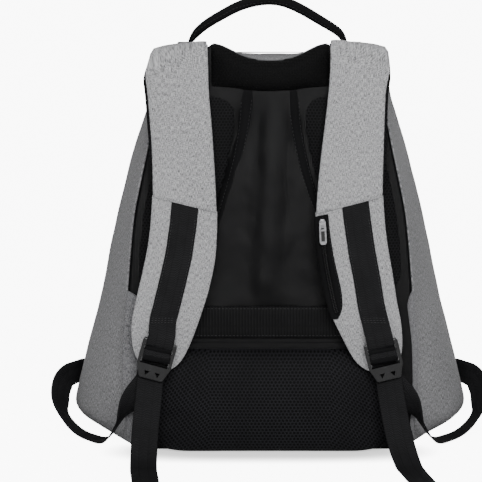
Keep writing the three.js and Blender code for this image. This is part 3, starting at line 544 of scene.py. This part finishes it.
# %% Sections of the bag
body_height, half_width, body_depth = 0.398, 0.204, 0.158
back_y = -0.38 * body_depth
sections = [
    # level, rim, ridge, ridge depth, front depth
    (0.0, 0.62, 0.735, 0.62, 0.79),
    (0.024, 0.685, 0.88, 0.69, 0.89),
    (0.062, 0.70, 1.0, 0.75, 0.955),
    (0.1, 0.706, 0.985, 0.745, 0.98),
    (0.19, 0.716, 0.94, 0.70, 1.0),
    (0.26, 0.716, 0.903, 0.665, 0.99),
    (0.38, 0.695, 0.84, 0.6, 0.94),
    (0.505, 0.675, 0.784, 0.54, 0.85),
    (0.6, 0.655, 0.74, 0.5, 0.775),
    (0.69, 0.62, 0.694, 0.45, 0.695),
    (0.765, 0.588, 0.655, 0.41, 0.625),
    (0.84, 0.56, 0.612, 0.37, 0.55),
    (0.9, 0.54, 0.58, 0.34, 0.49),
    (0.96, 0.53, 0.565, 0.31, 0.44),
    (0.99, 0.51, 0.54, 0.29, 0.405),
    (1.0, 0.48, 0.505, 0.27, 0.375),
]
rim_share, ridge_share, ridge_depth, front_depth = (smooth_curve(sections, c) for c in (1, 2, 3, 4))
side_part = 0.36


def section_point(share, across, closing=0.0):
    """A point of the bag: share of the height, across -1 to 1, closing 1 pulls it to the rim line."""
    rim = half_width * rim_share(share)
    ridge = half_width * ridge_share(share)
    ridge_y = back_y + body_depth * ridge_depth(share)
    front_y = back_y + body_depth * front_depth(share)
    q = abs(across)
    if q > 1 - side_part:
        t = (1 - q) / side_part
        x = mix(rim, ridge, math.sin(t * math.pi / 2))
        y = mix(back_y, ridge_y, t)
    else:
        angle = (1 - (q / (1 - side_part)) ** 1.6) * math.pi / 2
        x = ridge * max(math.cos(angle), 0.0) ** 0.62
        y = ridge_y + (front_y - ridge_y) * math.sin(angle) ** 0.8
    x *= mix(1.0, rim / ridge, closing)
    y = mix(y, back_y, closing)
    return Vector((math.copysign(x, across), y, share * body_height))


# %% [markdown]
# The top of the bag sags between the straps. A flat bell over the width gives the dip.

# %% The top edge dips in the middle
def top_dip(x, across_y):
    """How far the top of the bag lies lower at a place: an arch over the width, deeper at the rear edge."""
    middle = math.exp(-(x / 0.052) ** 4)
    rear = 1.0 - min(max((across_y - back_y) / 0.030, 0.0), 1.0)
    return middle * (0.0045 + 0.0040 * rear * rear)


# %% [markdown]
# Cloth starts as a grid with coordinates in metres of cloth, so the weave keeps its real size on it.

# %% Grid of cloth with its own pattern coordinates
def cloth_grid(name, across, along, place, lengths=None):
    """A grid whose point (s, t), both 0 to 1, goes to place(s, t). Its UV map is in metres of cloth."""
    bpy.ops.object.select_all(action="DESELECT")
    bpy.ops.mesh.primitive_grid_add(x_subdivisions=across, y_subdivisions=along, size=1.0)
    piece = bpy.context.object
    piece.name = name
    shares = [(v.co.x + 0.5, v.co.y + 0.5) for v in piece.data.vertices]
    for vertex, (s, t) in zip(piece.data.vertices, shares):
        vertex.co = place(s, t)
    layer = piece.data.uv_layers.active
    wide, long = lengths or (1.0, 1.0)
    for loop in piece.data.loops:
        s, t = shares[loop.vertex_index]
        layer.data[loop.index].uv = (s * wide, t * long)
    piece.data.update()
    return piece


def round_off(piece, levels):
    """Applies a subdivision, if any, and all that waits on the piece, and shades it smooth."""
    if levels:
        smooth = piece.modifiers.new("smooth", "SUBSURF")
        smooth.levels = smooth.render_levels = levels
    apply_modifiers(piece)
    bpy.ops.object.shade_smooth()


def thicken(piece, thickness, offset=-1.0, levels=0):
    wall = piece.modifiers.new("wall", "SOLIDIFY")
    wall.thickness = thickness
    wall.offset = offset
    wall.use_even_offset = False
    round_off(piece, levels)


# %% [markdown]
# The rows of the grid stand closer near the floor and the top, where the bag turns fastest.

# %% Wrap the bag
levels = [0.0, 0.006, 0.014, 0.024, 0.036, 0.05, 0.064, 0.08, 0.1]
levels += [mix(0.1, 0.96, i / 50) for i in range(1, 51)] + [0.97, 0.98, 0.988, 0.995, 1.0]
rows = [(0.0, c) for c in (1.0, 0.7, 0.4, 0.15)] + [(z, 0.0) for z in levels]
rows += [(1.0, c) for c in (0.15, 0.4, 0.7, 1.0)]
bag = cloth_grid("bag_cloth", 108, len(rows) - 1,
                 lambda s, t: section_point(rows[round(t * (len(rows) - 1))][0], 2 * s - 1,
                                            rows[round(t * (len(rows) - 1))][1]), (0.56, 0.50))
print("bag grid:", len(bag.data.vertices), "points")

# %% [markdown]
# A standing empty bag is not smooth: it has shallow dents where the foam gives way and soft folds that
# run down from the shoulders. A short table holds them, and a slow noise adds what is too small to list.

# %% Dents and folds of the bag
dents = [
    # place of the dent, reach of the dent along x, y and z, depth
    ((-0.165, 0.00, 0.085), (0.03, 0.05, 0.045), 0.0030),
    ((0.168, 0.00, 0.100), (0.03, 0.05, 0.050), 0.0026),
    ((-0.150, 0.02, 0.215), (0.03, 0.05, 0.070), 0.0022),
    ((0.145, 0.02, 0.230), (0.03, 0.05, 0.060), 0.0024),
    ((0.0, 0.09, 0.120), (0.10, 0.05, 0.060), 0.0030),
    ((-0.06, 0.06, 0.270), (0.05, 0.05, 0.050), 0.0026),
    ((0.07, 0.05, 0.310), (0.05, 0.05, 0.045), 0.0022),
]


def dent_at(co):
    depth = 0.0
    for place, reach, deep in dents:
        away = sum(((co[i] - place[i]) / reach[i]) ** 2 for i in range(3))
        depth += deep * math.exp(-away)
    return depth


def fold_cloth(piece, depth, size, extra=None, hold=lambda co: 0.0):
    """Moves points along their normals by a slow noise and an extra depth; hold 1 keeps a point."""
    moves = []
    for vertex in piece.data.vertices:
        co = vertex.co
        ripple = noise.fractal(Vector((co.x, co.y, 0.55 * co.z)) * size, 1.0, 2.0, 3)
        deep = extra(co) if extra else 0.0
        moves.append(vertex.normal * ((depth * ripple - deep) * (1.0 - hold(co))))
    for vertex, move in zip(piece.data.vertices, moves):
        vertex.co += move
    piece.data.update()


def rim_hold(co):
    near_back = 1.0 - min(max((co.y - back_y) / 0.02, 0.0), 1.0)
    near_floor = 1.0 - min(co.z / 0.012, 1.0)
    near_top = 1.0 if co.z > body_height - 0.004 and co.y < 0.0 else 0.0
    return max(near_back, near_floor, near_top)


for vertex in bag.data.vertices:
    height_share = min(max((vertex.co.z - 0.955 * body_height) / (0.045 * body_height), 0.0), 1.0)
    vertex.co.z -= top_dip(vertex.co.x, vertex.co.y) * height_share
fold_cloth(bag, 0.0016, 22.0, dent_at, rim_hold)
thicken(bag, 0.0024, -1.0, 1)
# The bag takes the darker copy of the grey cloth: painted shade.
bag.data.materials.append(body_painted_shade_cloth)
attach(bag, "bag")
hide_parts("body_shell")
print("bag cloth:", len(bag.data.polygons), "faces")

# %% [markdown]
# The other soft pieces start from their CAD solid, because it already fits its neighbours. A copy of its
# mesh is merged, its triangles are joined to quads, its sharp edges get a crease so that they stay where
# they are, and a subdivision surface makes it round.

# %% Cut a soft piece from its solid
weld = 0.00002


def cut_from(node, name, levels=2, crease=0.7, angle=38.0):
    piece = bpy.data.objects.new(name, nodes[node].data.copy())
    bpy.context.scene.collection.objects.link(piece)
    piece.data.materials.clear()
    pick(piece)
    if piece.data.has_custom_normals:
        bpy.ops.mesh.customdata_custom_splitnormals_clear()
    edit_all(piece, lambda: bpy.ops.mesh.remove_doubles(threshold=weld),
             lambda: bpy.ops.mesh.tris_convert_to_quads(face_threshold=math.radians(45),
                                                        shape_threshold=math.radians(60)))
    shape = bmesh.new()
    shape.from_mesh(piece.data)
    held = shape.edges.layers.float.new("crease_edge")
    for edge in shape.edges:
        if len(edge.link_faces) == 2 and edge.calc_face_angle() > math.radians(angle):
            edge[held] = crease
    shape.to_mesh(piece.data)
    shape.free()
    round_off(piece, levels)
    return piece


def lay_pattern(piece, place):
    """Writes pattern coordinates in metres from the place of each point."""
    layer = piece.data.uv_layers.get("cloth") or piece.data.uv_layers.new(name="cloth")
    piece.data.uv_layers.active = layer
    for loop in piece.data.loops:
        layer.data[loop.index].uv = place(piece.data.vertices[loop.vertex_index].co)


def nudge(piece, shift):
    """Moves each point by shift(place); the place is in metres."""
    for vertex in piece.data.vertices:
        vertex.co += Vector(shift(vertex.co))
    piece.data.update()


def ramp(value, low, high):
    t = min(max((value - low) / (high - low), 0.0), 1.0)
    return t * t * (3 - 2 * t)


def hand_over(piece, node, finish, body="bag"):
    """Gives a piece its finish, its body, the node that it replaces, if any."""
    piece.data.materials.append(finish)
    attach(piece, body)
    if node:
        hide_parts(node)
    print(piece.name, len(piece.data.polygons), "faces")


# %% [markdown]
# The back panel is thin nylon over foam. It pulls into long soft folds between the two side pads, so a
# crease runs down from the left pad and a broad highlight stands in the middle.

# %% Back panel
def face_outward(piece):
    edit_all(piece, lambda: bpy.ops.mesh.normals_make_consistent(inside=False))


face_y = back_y - 0.0060
rim_gap = 0.0002
panel_depth = 0.0091
panel_top = [
    # place across, height of the edge, as shares of the half width and of the body height
    (0.0, 0.982), (0.05, 0.982), (0.1, 0.989), (0.16, 1.001), (0.19, 1.009), (0.245, 1.0215), (0.27, 1.024),
    (0.29, 1.020), (0.32, 1.004), (0.4, 0.994), (1.0, 0.99),
]
top_edge = smooth_curve(panel_top, 1)


def panel_point(s, t):
    across = 2 * s - 1
    level = mix(0.006 * body_height, 0.998 * body_height, t)
    x = across * half_width * rim_share(level / body_height)
    edge = body_height * top_edge(abs(x) / half_width)
    z = level - t ** 6 * (0.998 * body_height - edge)
    ridge = 0.0036 * math.exp(-((x - 0.001 - 0.05 * (z - 0.27)) / 0.013) ** 2)
    dip = 0.0034 * math.exp(-((x + 0.040 - 0.35 * (z - 0.30)) / 0.009) ** 2)
    side_dip = 0.0022 * math.exp(-((x - 0.042 + 0.30 * (z - 0.28)) / 0.012) ** 2)
    ripple = 0.0010 * noise.fractal(Vector((34.0 * x, 3.0, 20.0 * z)), 1.0, 2.0, 3)
    inside = math.exp(-((z - 0.25) / 0.105) ** 6) * math.exp(-(x / 0.11) ** 6)
    return Vector((x, back_y - rim_gap + (dip + side_dip - ridge + ripple) * inside, z))


panel = cloth_grid("panel_nylon", 96, 128, panel_point, (0.29, 0.40))
thicken(panel, panel_depth, 1.0)
face_outward(panel)
hand_over(panel, "back_panel", nylon)

# %% [markdown]
# Pads are foam under mesh. Each is remeshed evenly and filled by a cloth simulation: pressure from inside
# swells it while its back stays sewn to the panel. How far a point may move is capped, so that the pad
# keeps clear of the straps.

# %% Stuffing by simulation
def stuff_pad(piece, pressure, cap, voxel=0.004, frames=18):
    even = piece.modifiers.new("even", "REMESH")
    even.mode = "VOXEL"
    even.voxel_size = voxel
    apply_modifiers(piece)
    rest = [v.co.copy() for v in piece.data.vertices]
    back = max(co.y for co in rest)
    held = piece.vertex_groups.new(name="sewn")
    held.add([i for i, co in enumerate(rest) if co.y > back - 0.0022], 1.0, "REPLACE")
    cloth = piece.modifiers.new("cloth", "CLOTH")
    cloth.settings.use_pressure = True
    cloth.settings.uniform_pressure_force = pressure
    cloth.settings.effector_weights.gravity = 0.0
    cloth.settings.vertex_group_mass = "sewn"
    cloth.settings.quality = 5
    cloth.collision_settings.use_collision = False
    cloth.point_cache.frame_start = 1
    cloth.point_cache.frame_end = frames
    for step in range(1, frames + 1):
        bpy.context.scene.frame_set(step)
    pick(piece)
    bpy.ops.object.modifier_apply(modifier="cloth")
    for vertex, start in zip(piece.data.vertices, rest):
        move = vertex.co - start
        if move.length > cap:
            vertex.co = start + move * (cap / move.length)
        vertex.co.y = min(vertex.co.y, back)
    bpy.context.scene.frame_set(1)
    round_off(piece, 1)


# %% [markdown]
# The lumbar pad is the thickest one. It is drawn in a little first, because the filling swells it.

# %% Lumbar pad
lumbar = cut_from("lumbar_pad", "lumbar_mesh_pad", 1, 0.5)
nudge(lumbar, lambda co: (-0.055 * co.x, 0.0, 0.0))
stuff_pad(lumbar, 4.0, 0.005)
hand_over(lumbar, "lumbar_pad", lumbar_cloth)

# %% [markdown]
# These pads are thinner and take less filling. Their tops are stretched up to the edge of the panel.

# %% Collar pad and side pads
collar = cut_from("collar_pad", "collar_mesh_pad", 1, 0.5)
nudge(collar, lambda co: (0.07 * co.x, 0.0, 0.0045 * ramp(co.z, 0.37, 0.388)))
stuff_pad(collar, 4.0, 0.004, 0.003)
# The collar takes the darkest copy of the net: painted shade.
hand_over(collar, "collar_pad", collar_painted_shade_mesh)
for side in ("left", "right"):
    pad = cut_from("side_mesh_pad_" + side, "side_air_mesh_" + side, 1, 0.5)
    nudge(pad, lambda co: (0.0, 0.0, 0.007 * ramp(co.z, 0.345, 0.359)))
    stuff_pad(pad, 2.5, 0.002, 0.003)
    hand_over(pad, "side_mesh_pad_" + side, mesh_cloth)

# %% [markdown]
# Strips of trim lie between the pads: a binding along each inner edge, a seam binding over the lumbar
# pad, the pale piping of the top edge and the ribbed elastic band that slips over a case handle.

# %% Bindings, piping and luggage band
for side in ("left", "right"):
    binding = cut_from("pad_binding_" + side, "pad_edge_strip_" + side, 2, 0.5)
    nudge(binding, lambda co: (0.0, 0.0, 0.009 * ramp(co.z, 0.345, 0.359)))
    hand_over(binding, "pad_binding_" + side, trim_cloth)
seam_strip = cut_from("seam_binding", "seam_strip", 2, 0.4)
hand_over(seam_strip, "seam_binding", trim_cloth)
piping = cut_from("top_piping", "top_edge_piping", 2, 0.3)
hand_over(piping, "top_piping", pale_piping)
band = cut_from("luggage_band", "luggage_elastic", 2, 0.85)
hand_over(band, "luggage_band", elastic)

# %% [markdown]
# A shoulder strap is foam between black mesh and grey cloth. The upper grey cover is thick and smooth,
# the lower one thin, and they meet in a slanted seam.

# %% Shoulder straps
def shoulder_slope(co):
    """The strap's bend over the top edge falls away to the outside."""
    front = ramp(-co.y, 0.058, 0.070)
    return (0.0, 0.0, -0.0065 * ramp(abs(co.x), 0.060, 0.118) * front * ramp(co.z, 0.36, 0.40))


for side in ("left", "right"):
    core = cut_from("strap_core_" + side, "strap_foam_" + side, 2, 0.6)
    sign = -1.0 if side == "left" else 1.0

    def show_edge(co, sign=sign):
        """The foam shows as a thin dark edge outside the upper cover."""
        outer = ramp(sign * co.x, 0.09, 0.11)
        level = ramp(co.z, 0.27, 0.30) * (1.0 - ramp(co.z, 0.37, 0.39))
        return (0.0022 * sign * outer * level, 0.0, 0.0)

    nudge(core, show_edge)
    nudge(core, shoulder_slope)
    hand_over(core, "strap_core_" + side, mesh_cloth)
    for part in ("upper", "lower"):
        node = "strap_" + part + "_cover_" + side
        cover = cut_from(node, "strap_" + part + "_cloth_" + side, 2, 0.8)
        if part == "lower":
            nudge(cover, lambda co: (
                0.0, 0.0014 * ramp(co.z, 0.236, 0.244), 0.0035 * ramp(co.z, 0.232, 0.241)))
        nudge(cover, shoulder_slope)
        lay_pattern(cover, lambda co: (co.x, co.z - co.y))
        hand_over(cover, node, grey_cloth)

# %% [markdown]
# Webbing is a flat woven ribbon. The CAD strip gives its path as rings of four corners. The rings are
# walked from one end to the other, and a fine grid is laid along them, so that the weave can follow the
# ribbon through every turn.

# %% Walk along a strip
def strip_rings(node, start):
    shape = bmesh.new()
    shape.from_mesh(nodes[node].data)
    bmesh.ops.remove_doubles(shape, verts=shape.verts, dist=weld)
    ring = sorted(shape.verts, key=lambda v: (v.co - Vector(start)).length)[:4]
    seen, stations, before = set(), [], None
    while ring:
        first = ring[0]
        mate = min(ring[1:], key=lambda v: (v.co - first.co).length)
        others = [v for v in ring[1:] if v is not mate]
        one = (first.co + mate.co) / 2
        two = (others[0].co + others[1].co) / 2
        centre = (one + two) / 2
        wide = (one - two).normalized()
        if before and wide.dot(before[1]) < 0:
            wide = -wide
        before = (centre, wide, (one - two).length)
        stations.append(before)
        seen.update(ring)
        ring = list({e.other_vert(v) for v in ring for e in v.link_edges} - seen)
        ring = ring if len(ring) == 4 else []
    shape.free()
    return stations


def twist_flat(station):
    """On the floor beside the bag the webbing lies on its face, so it is seen edge-on."""
    centre, wide, width = station
    raised = ramp(centre.z, 0.014, 0.036) * ramp(abs(centre.x), 0.185, 0.2)
    share = ramp(abs(centre.x), 0.134, 0.152) * (1.0 - raised)
    if centre.y < -0.105 or share == 0.0:
        return station
    sign = 1.0 if wide.y > 0 else -1.0
    share *= 0.86
    lean = -0.08 * sign * (1.0 if centre.x > 0 else -1.0)
    turned = wide.lerp(Vector((lean, sign, 0.0)), share).normalized()
    return centre, turned, width


def tuck_end(stations):
    """Adds a station that slips the sewn end in under the seam of the upper cover."""
    centre, wide, width = stations[0]
    along = (centre - stations[1][0]).normalized()
    inward = Vector((0.0, 1.0, 0.0))
    stations[0] = (centre + inward * 0.0008, wide, width)
    return [(centre + along * 0.007 + inward * 0.0042, wide, width)] + stations


def lay_ribbon(name, stations, thickness=0.00145, step=0.003, cross=10):
    lengths = [0.0]
    for a, b in zip(stations, stations[1:]):
        lengths.append(lengths[-1] + (b[0] - a[0]).length)
    total = lengths[-1]
    keys = [(at, *centre, *wide) for at, (centre, wide, _) in zip(lengths, stations)]
    curves = [smooth_curve(keys, c) for c in range(1, 7)]
    width = sorted(s[2] for s in stations)[len(stations) // 2]

    def place(s, t):
        values = [curve(t * total) for curve in curves]
        centre, wide = Vector(values[0:3]), Vector(values[3:6]).normalized()
        return centre + wide * ((s - 0.5) * (width - thickness * 0.3))

    ribbon = cloth_grid(name, cross, max(int(total / step), 8), place, (width, total))
    thicken(ribbon, thickness, 0.0, 1)
    print(name, "length %.3f m, width %.4f m" % (total, width))
    return ribbon, total, width


# %% [markdown]
# Sewn ends slip in under the seam of the cover, and the free tails lie out towards the camera.

# %% Webbing
strip_starts = {
    "sewn_webbing_left": (-0.0828, -0.1016, 0.2534),
    "sewn_webbing_right": (0.0829, -0.1016, 0.2544),
    "adjuster_webbing_left": (-0.1160, -0.2120, 0.0011),
    "adjuster_webbing_right": (0.1462, -0.2120, 0.0011),
}
for side in ("left", "right"):
    for part in ("sewn", "adjuster"):
        node = part + "_webbing_" + side
        stations = strip_rings(node, strip_starts[node])
        stations = tuck_end(stations) if part == "sewn" else [twist_flat(s) for s in stations]
        ribbon, length, width = lay_ribbon(part + "_ribbon_" + side, stations)
        hand_over(ribbon, node, webbing)
for side in ("left", "right"):
    tab = cut_from("handle_tab_" + side, "handle_base_" + side, 2, 0.9)
    lay_pattern(tab, lambda co: (co.y, co.x))
    hand_over(tab, "handle_tab_" + side, webbing)

# %% [markdown]
# The handle is a padded tube of black cloth, flattened towards its sewn feet.

# %% Handle
handle = cut_from("handle", "carry_handle", 2, 0.3)
hand_over(handle, "handle", trim_cloth)

# %% [markdown]
# The hard pieces keep their CAD shape and get a moulded or cast finish. The pocket's tape and coil are
# cloth and moulded teeth.

# %% Hard pieces and zip
def dress(node, finish):
    shape = nodes[node].data
    shape.materials.clear()
    shape.materials.append(finish)


for side in ("left", "right"):
    dress("ladder_lock_" + side, plastic)
dress("zip_slider_right", zinc)
dress("zip_puller_right", zinc)
zip_tape = cut_from("zip_panel_right", "zip_tape", 2, 0.8)
tape_step = 0.004
tape_edge = {}
for vertex in zip_tape.data.vertices:
    key = round(vertex.co.z / tape_step)
    span_now = tape_edge.get(key, (1.0, -1.0))
    tape_edge[key] = (min(span_now[0], vertex.co.x), max(span_now[1], vertex.co.x))


def widen_tape(co):
    left, right = tape_edge[round(co.z / tape_step)]
    share = 1.0 - (co.x - left) / max(right - left, 0.001)
    return (-0.0022 * share, 0.0, 0.0)


nudge(zip_tape, widen_tape)
hand_over(zip_tape, "zip_panel_right", trim_cloth)
zip_coil = cut_from("zip_coil_right", "zip_coil", 2, 0.3)
hand_over(zip_coil, "zip_coil_right", trim_cloth)

# %% [markdown]
# The grey cloth of the bag wraps a little way round onto the back, below the luggage band. It is a strip
# of its own on each side, which starts at the rim and ends beside the lumbar pad.

# %% Cloth returns
for side, sign in (("left", -1.0), ("right", 1.0)):
    def return_point(s, t, sign=sign):
        z = mix(0.004, 0.163, t)
        rim = half_width * rim_share(z / body_height) + 0.0012
        full = mix(0.0105, 0.0205, ramp(z, 0.03, 0.155)) * (1.0 if sign < 0 else 0.3)
        width = full * math.sqrt(max(1.0 - ramp(t, 0.90, 1.0), 0.0)) + 0.0004
        bulge = 0.0010 * math.sin(math.pi * s)
        return Vector((sign * (rim - s * width), face_y - 0.0044 - bulge, z))

    strip = cloth_grid("bag_return_" + side, 8, 70, return_point, (0.013, 0.16))
    if sign > 0:
        edit_all(strip, bpy.ops.mesh.flip_normals)
    thicken(strip, 0.0012, 1.0, 1)
    # The strip takes the darkest copy of the grey cloth: painted shade.
    hand_over(strip, None, return_painted_shade_cloth)

# %% [markdown]
# Stitches are small and many. One stitch is modelled once, as a stretched bead, and copied along a path.
# Each copy is dropped on the cloth from the wearer's side, so it lies on the surface wherever that is.

# %% One stitch
bpy.ops.object.select_all(action="DESELECT")
bpy.ops.mesh.primitive_uv_sphere_add(segments=6, ring_count=5, radius=0.5)
bead = bpy.context.object
bead.name = "stitch_pattern"
edit_all(bead, lambda: bpy.ops.transform.rotate(value=math.pi / 2, orient_axis="Y",
                                                center_override=(0.0, 0.0, 0.0)))
bead_points = [v.co.copy() for v in bead.data.vertices]
bead_faces = [tuple(f.vertices) for f in bead.data.polygons]
bpy.data.objects.remove(bead)


# length, gap and thickness
seam_stitch = (0.0024, 0.0012, 0.0005)
binding_stitch = (0.0024, 0.0014, 0.0005)
strip_stitch = (0.0026, 0.0012, 0.0006)
webbing_stitch = (0.0022, 0.0010, 0.0006)
tape_stitch = (0.0022, 0.0010, 0.0005)
tooth = (0.0015, 0.01, 0.0009)


def sew(name, paths, under, finish, stitch):
    """Drops stitches along paths of (x, z) on the piece under them and joins them in one piece."""
    ground = BVHTree.FromPolygons([v.co.copy() for v in under.data.vertices],
                                  [tuple(f.vertices) for f in under.data.polygons])
    length, gap, thick = stitch
    points, faces = [], []
    for path in paths:
        corners = [Vector((x, 0.0, z)) for x, z in path]
        left_over = 0.0
        for a, b in zip(corners, corners[1:]):
            run = (b - a).length
            at = left_over
            while at < run:
                spot = a.lerp(b, at / run)
                hit, normal, _, _ = ground.ray_cast(Vector((spot.x, -0.4, spot.z)), Vector((0.0, 1.0, 0.0)))
                at += length + gap
                if hit is None:
                    continue
                along = (b - a).normalized()
                along = (along - normal * along.dot(normal)).normalized()
                side_way = normal.cross(along)
                turn = Matrix((along * length, side_way * thick, normal * thick)).transposed()
                start = len(points)
                points += [hit + normal * thick * 0.25 + turn @ p for p in bead_points]
                faces += [tuple(start + i for i in f) for f in bead_faces]
            left_over = at - run
    shape = bpy.data.meshes.new(name)
    shape.from_pydata(points, [], faces)
    row = bpy.data.objects.new(name, shape)
    bpy.context.scene.collection.objects.link(row)
    pick(row)
    bpy.ops.object.shade_smooth()
    hand_over(row, None, finish)


# %% [markdown]
# Most rows of stitches follow an edge, which is found on the finished mesh and not in the CAD.

# %% Edges of a piece, seen from the wearer's side
def edge_path(piece, side, inset, low, high, count=40):
    """(x, z) along the left (-1) or right (1) edge of a piece, a little inside it."""
    levels = [mix(low, high, i / count) for i in range(count + 1)]
    best = {}
    for vertex in piece.data.vertices:
        key = round((vertex.co.z - low) / (high - low) * count)
        if 0 <= key <= count:
            best[key] = max(best.get(key, -1.0), side * vertex.co.x)
    return [(side * (best[k] - inset), levels[k]) for k in sorted(best)]


# %% [markdown]
# Rows go where the photo shows them: seams, edges, three rows across the webbing, and the handle.

# %% Stitch rows on straps, bindings, band and webbing
for side, sign in (("left", -1.0), ("right", 1.0)):
    upper = bpy.data.objects["strap_upper_cloth_" + side]
    web = bpy.data.objects["sewn_ribbon_" + side]
    reach = [v.co for v in upper.data.vertices if v.co.z < 0.29]
    inner_x, outer_x = (pick_x(sign * co.x for co in reach) for pick_x in (min, max))
    seam_row = []
    for i in range(13):
        x = mix(outer_x - 0.004, inner_x + 0.004, i / 12)
        seam_row.append((sign * x, min(co.z for co in reach if abs(sign * co.x - x) < 0.004) + 0.0030))
    sew("seam_stitches_" + side, [seam_row], upper, grey_thread, seam_stitch)
    rows_on_web = [edge_path(web, e, 0.0022, 0.150, 0.240, 24) for e in (-1, 1)]
    for level in (0.1372, 0.1394, 0.1416):
        pair = [edge_path(web, e, 0.003, level - 0.002, level + 0.002, 2) for e in (-1, 1)]
        rows_on_web.append([(pair[0][0][0], level), (pair[1][0][0], level)])
    sew("webbing_stitches_" + side, rows_on_web, web, thread, webbing_stitch)
    strip = bpy.data.objects["pad_edge_strip_" + side]
    both_edges = [edge_path(strip, e, 0.0016, 0.16, 0.352, 40) for e in (-sign, sign)]
    sew("binding_stitches_" + side, both_edges, strip, thread, binding_stitch)
low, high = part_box("luggage_band")
band_rows = [[(-0.126, z), (0.126, z)] for z in (low.z + 0.0022, high.z - 0.0022)]
band_rows += [[(x, low.z + 0.003), (x, high.z - 0.003)] for x in (-0.1285, 0.1285)]
sew("band_stitches", band_rows, band, thread, seam_stitch)
strip_row = [(-0.138, 0.1092), (0.138, 0.1092)]
sew("seam_strip_stitches", [strip_row], seam_strip, thread, strip_stitch)
tape_row = edge_path(zip_tape, 1, 0.0013, 0.146, 0.240, 30)
sew("zip_tape_stitches", [tape_row], zip_tape, thread, tape_stitch)
arch = [
    (-0.0775, 0.412), (-0.0735, 0.422), (-0.068, 0.4255), (-0.0585, 0.4315), (-0.047, 0.438),
    (-0.035, 0.4445),
    (-0.020, 0.4488), (0.0, 0.4512), (0.015, 0.4488), (0.022, 0.4460), (0.035, 0.4395), (0.050, 0.4305),
    (0.0615, 0.4235), (0.070, 0.4165), (0.073, 0.412),
]
sew("handle_stitches", [[(x, z + d) for x, z in arch] for d in (-0.0032, 0.0032)], handle, thread,
    seam_stitch)

# %% [markdown]
# The webbing rolls over the two bars of each ladder lock. A roll is a rounded cylinder, made once for each
# thickness and copied to both locks. It is sunk in the webbing, so only its front stands out.

# %% Rolls of webbing on the lock bars
rolls = [
    # name, radius, distance below the top of the lock
    ("upper", 0.0031, 0.0117),
    ("lower", 0.0040, 0.0206),
]
for name, radius, down in rolls:
    bpy.ops.object.select_all(action="DESELECT")
    bpy.ops.mesh.primitive_cylinder_add(vertices=24, radius=radius, depth=0.0258)
    pattern = bpy.context.object
    edit_all(pattern, lambda: bpy.ops.mesh.bevel(offset=0.0004, segments=2, affect="EDGES"))
    for side in ("left", "right"):
        lock = nodes["ladder_lock_" + side]
        low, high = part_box(lock.name)
        line = strip_rings("sewn_webbing_" + side, strip_starts["sewn_webbing_" + side])
        along = (low + high) / 2 - line[len(line) // 2][0]
        along.y = 0.0
        along.normalize()
        across = Vector((along.z, 0.0, -along.x))
        spot = (low + high) / 2 - along * (0.485 * (high.z - low.z) - down)
        place = Vector((spot.x, low.y + radius - 0.0008, spot.z))
        turn = Matrix((along, Vector((0.0, 1.0, 0.0)), across)).transposed().to_4x4()
        roll = bpy.data.objects.new("webbing_roll_" + name + "_" + side, pattern.data.copy())
        bpy.context.scene.collection.objects.link(roll)
        roll.data.transform(Matrix.Translation(place) @ turn)
        face_outward(roll)
        bpy.ops.object.shade_smooth()
        roll.data.materials.clear()
        hand_over(roll, None, trim_cloth)
    bpy.data.objects.remove(pattern)

# %% [markdown]
# The zip's teeth are one small loop of monofilament, copied up the coil on both sides of its middle.

# %% Zip teeth
coil_low, coil_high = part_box("zip_coil_right")
left_line, right_line = (
    edge_path(zip_coil, e, 0.0016, coil_low.z + 0.002, coil_high.z - 0.002, 60) for e in (-1, 1))
tooth_rows = []
for (left_x, z), (right_x, _) in zip(left_line, right_line):
    middle = (left_x + right_x) / 2
    tooth_rows.append([(middle - 0.0016, z), (middle - 0.0002, z)])
    tooth_rows.append([(middle + 0.0003, z + 0.0008), (middle + 0.0017, z + 0.0008)])
sew("zip_teeth", tooth_rows, zip_coil, plastic, tooth)

# %% [markdown]
# The puller has a dark inlay in its recess. It rides on the puller's own body, so it swings with it.

# %% Puller inlay
joint = frame["joints"][0]
pin = Vector(joint["pos_m"])
wide = Vector(joint["axis"]).normalized()
tip = min((v.co for v in nodes["zip_puller_right"].data.vertices), key=lambda co: co.z)
up = (pin - tip)
up = (up - wide * up.dot(wide)).normalized()
out = wide.cross(up)
if out.y > 0:
    wide, out = -wide, -out
face_out = max((v.co - pin).dot(out) for v in nodes["zip_puller_right"].data.vertices)
bpy.ops.object.select_all(action="DESELECT")
bpy.ops.mesh.primitive_cube_add(size=1.0)
inlay = bpy.context.object
inlay.name = "puller_inlay"
inlay.scale = (0.0036, 0.0100, 0.0005)
settle(inlay)
edit_all(inlay, lambda: bpy.ops.mesh.bevel(offset=0.0001, segments=2, affect="EDGES"))
frame_of_puller = Matrix((wide, up, out)).transposed().to_4x4()
inlay.data.transform(Matrix.Translation(pin - up * 0.0120 + out * face_out) @ frame_of_puller)
hand_over(inlay, None, plastic, "zip_puller")

# %% [markdown]
# A seam with a thin cord crosses the top of the bag behind the panel. It shows as a line in the grey
# sliver over the dip.

# %% Top seam
def top_seam_point(s, t):
    x = mix(-0.062, 0.062, t)
    angle = 2 * math.pi * s
    y = back_y + 0.026
    z = body_height - top_dip(x, y) + 0.0004
    return Vector((x, y + 0.0007 * math.cos(angle), z + 0.0007 * math.sin(angle)))


top_seam = cloth_grid("top_seam_cord", 8, 60, top_seam_point, (0.004, 0.124))
pick(top_seam)
bpy.ops.object.mode_set(mode="EDIT")
bpy.ops.mesh.select_all(action="SELECT")
bpy.ops.mesh.remove_doubles(threshold=0.00001)
bpy.ops.mesh.select_all(action="DESELECT")
bpy.ops.mesh.select_non_manifold()
bpy.ops.mesh.fill()
face_outward(top_seam)
bpy.ops.object.shade_smooth()
hand_over(top_seam, None, pale_piping)

# %% [markdown]

# %% The json module
import json
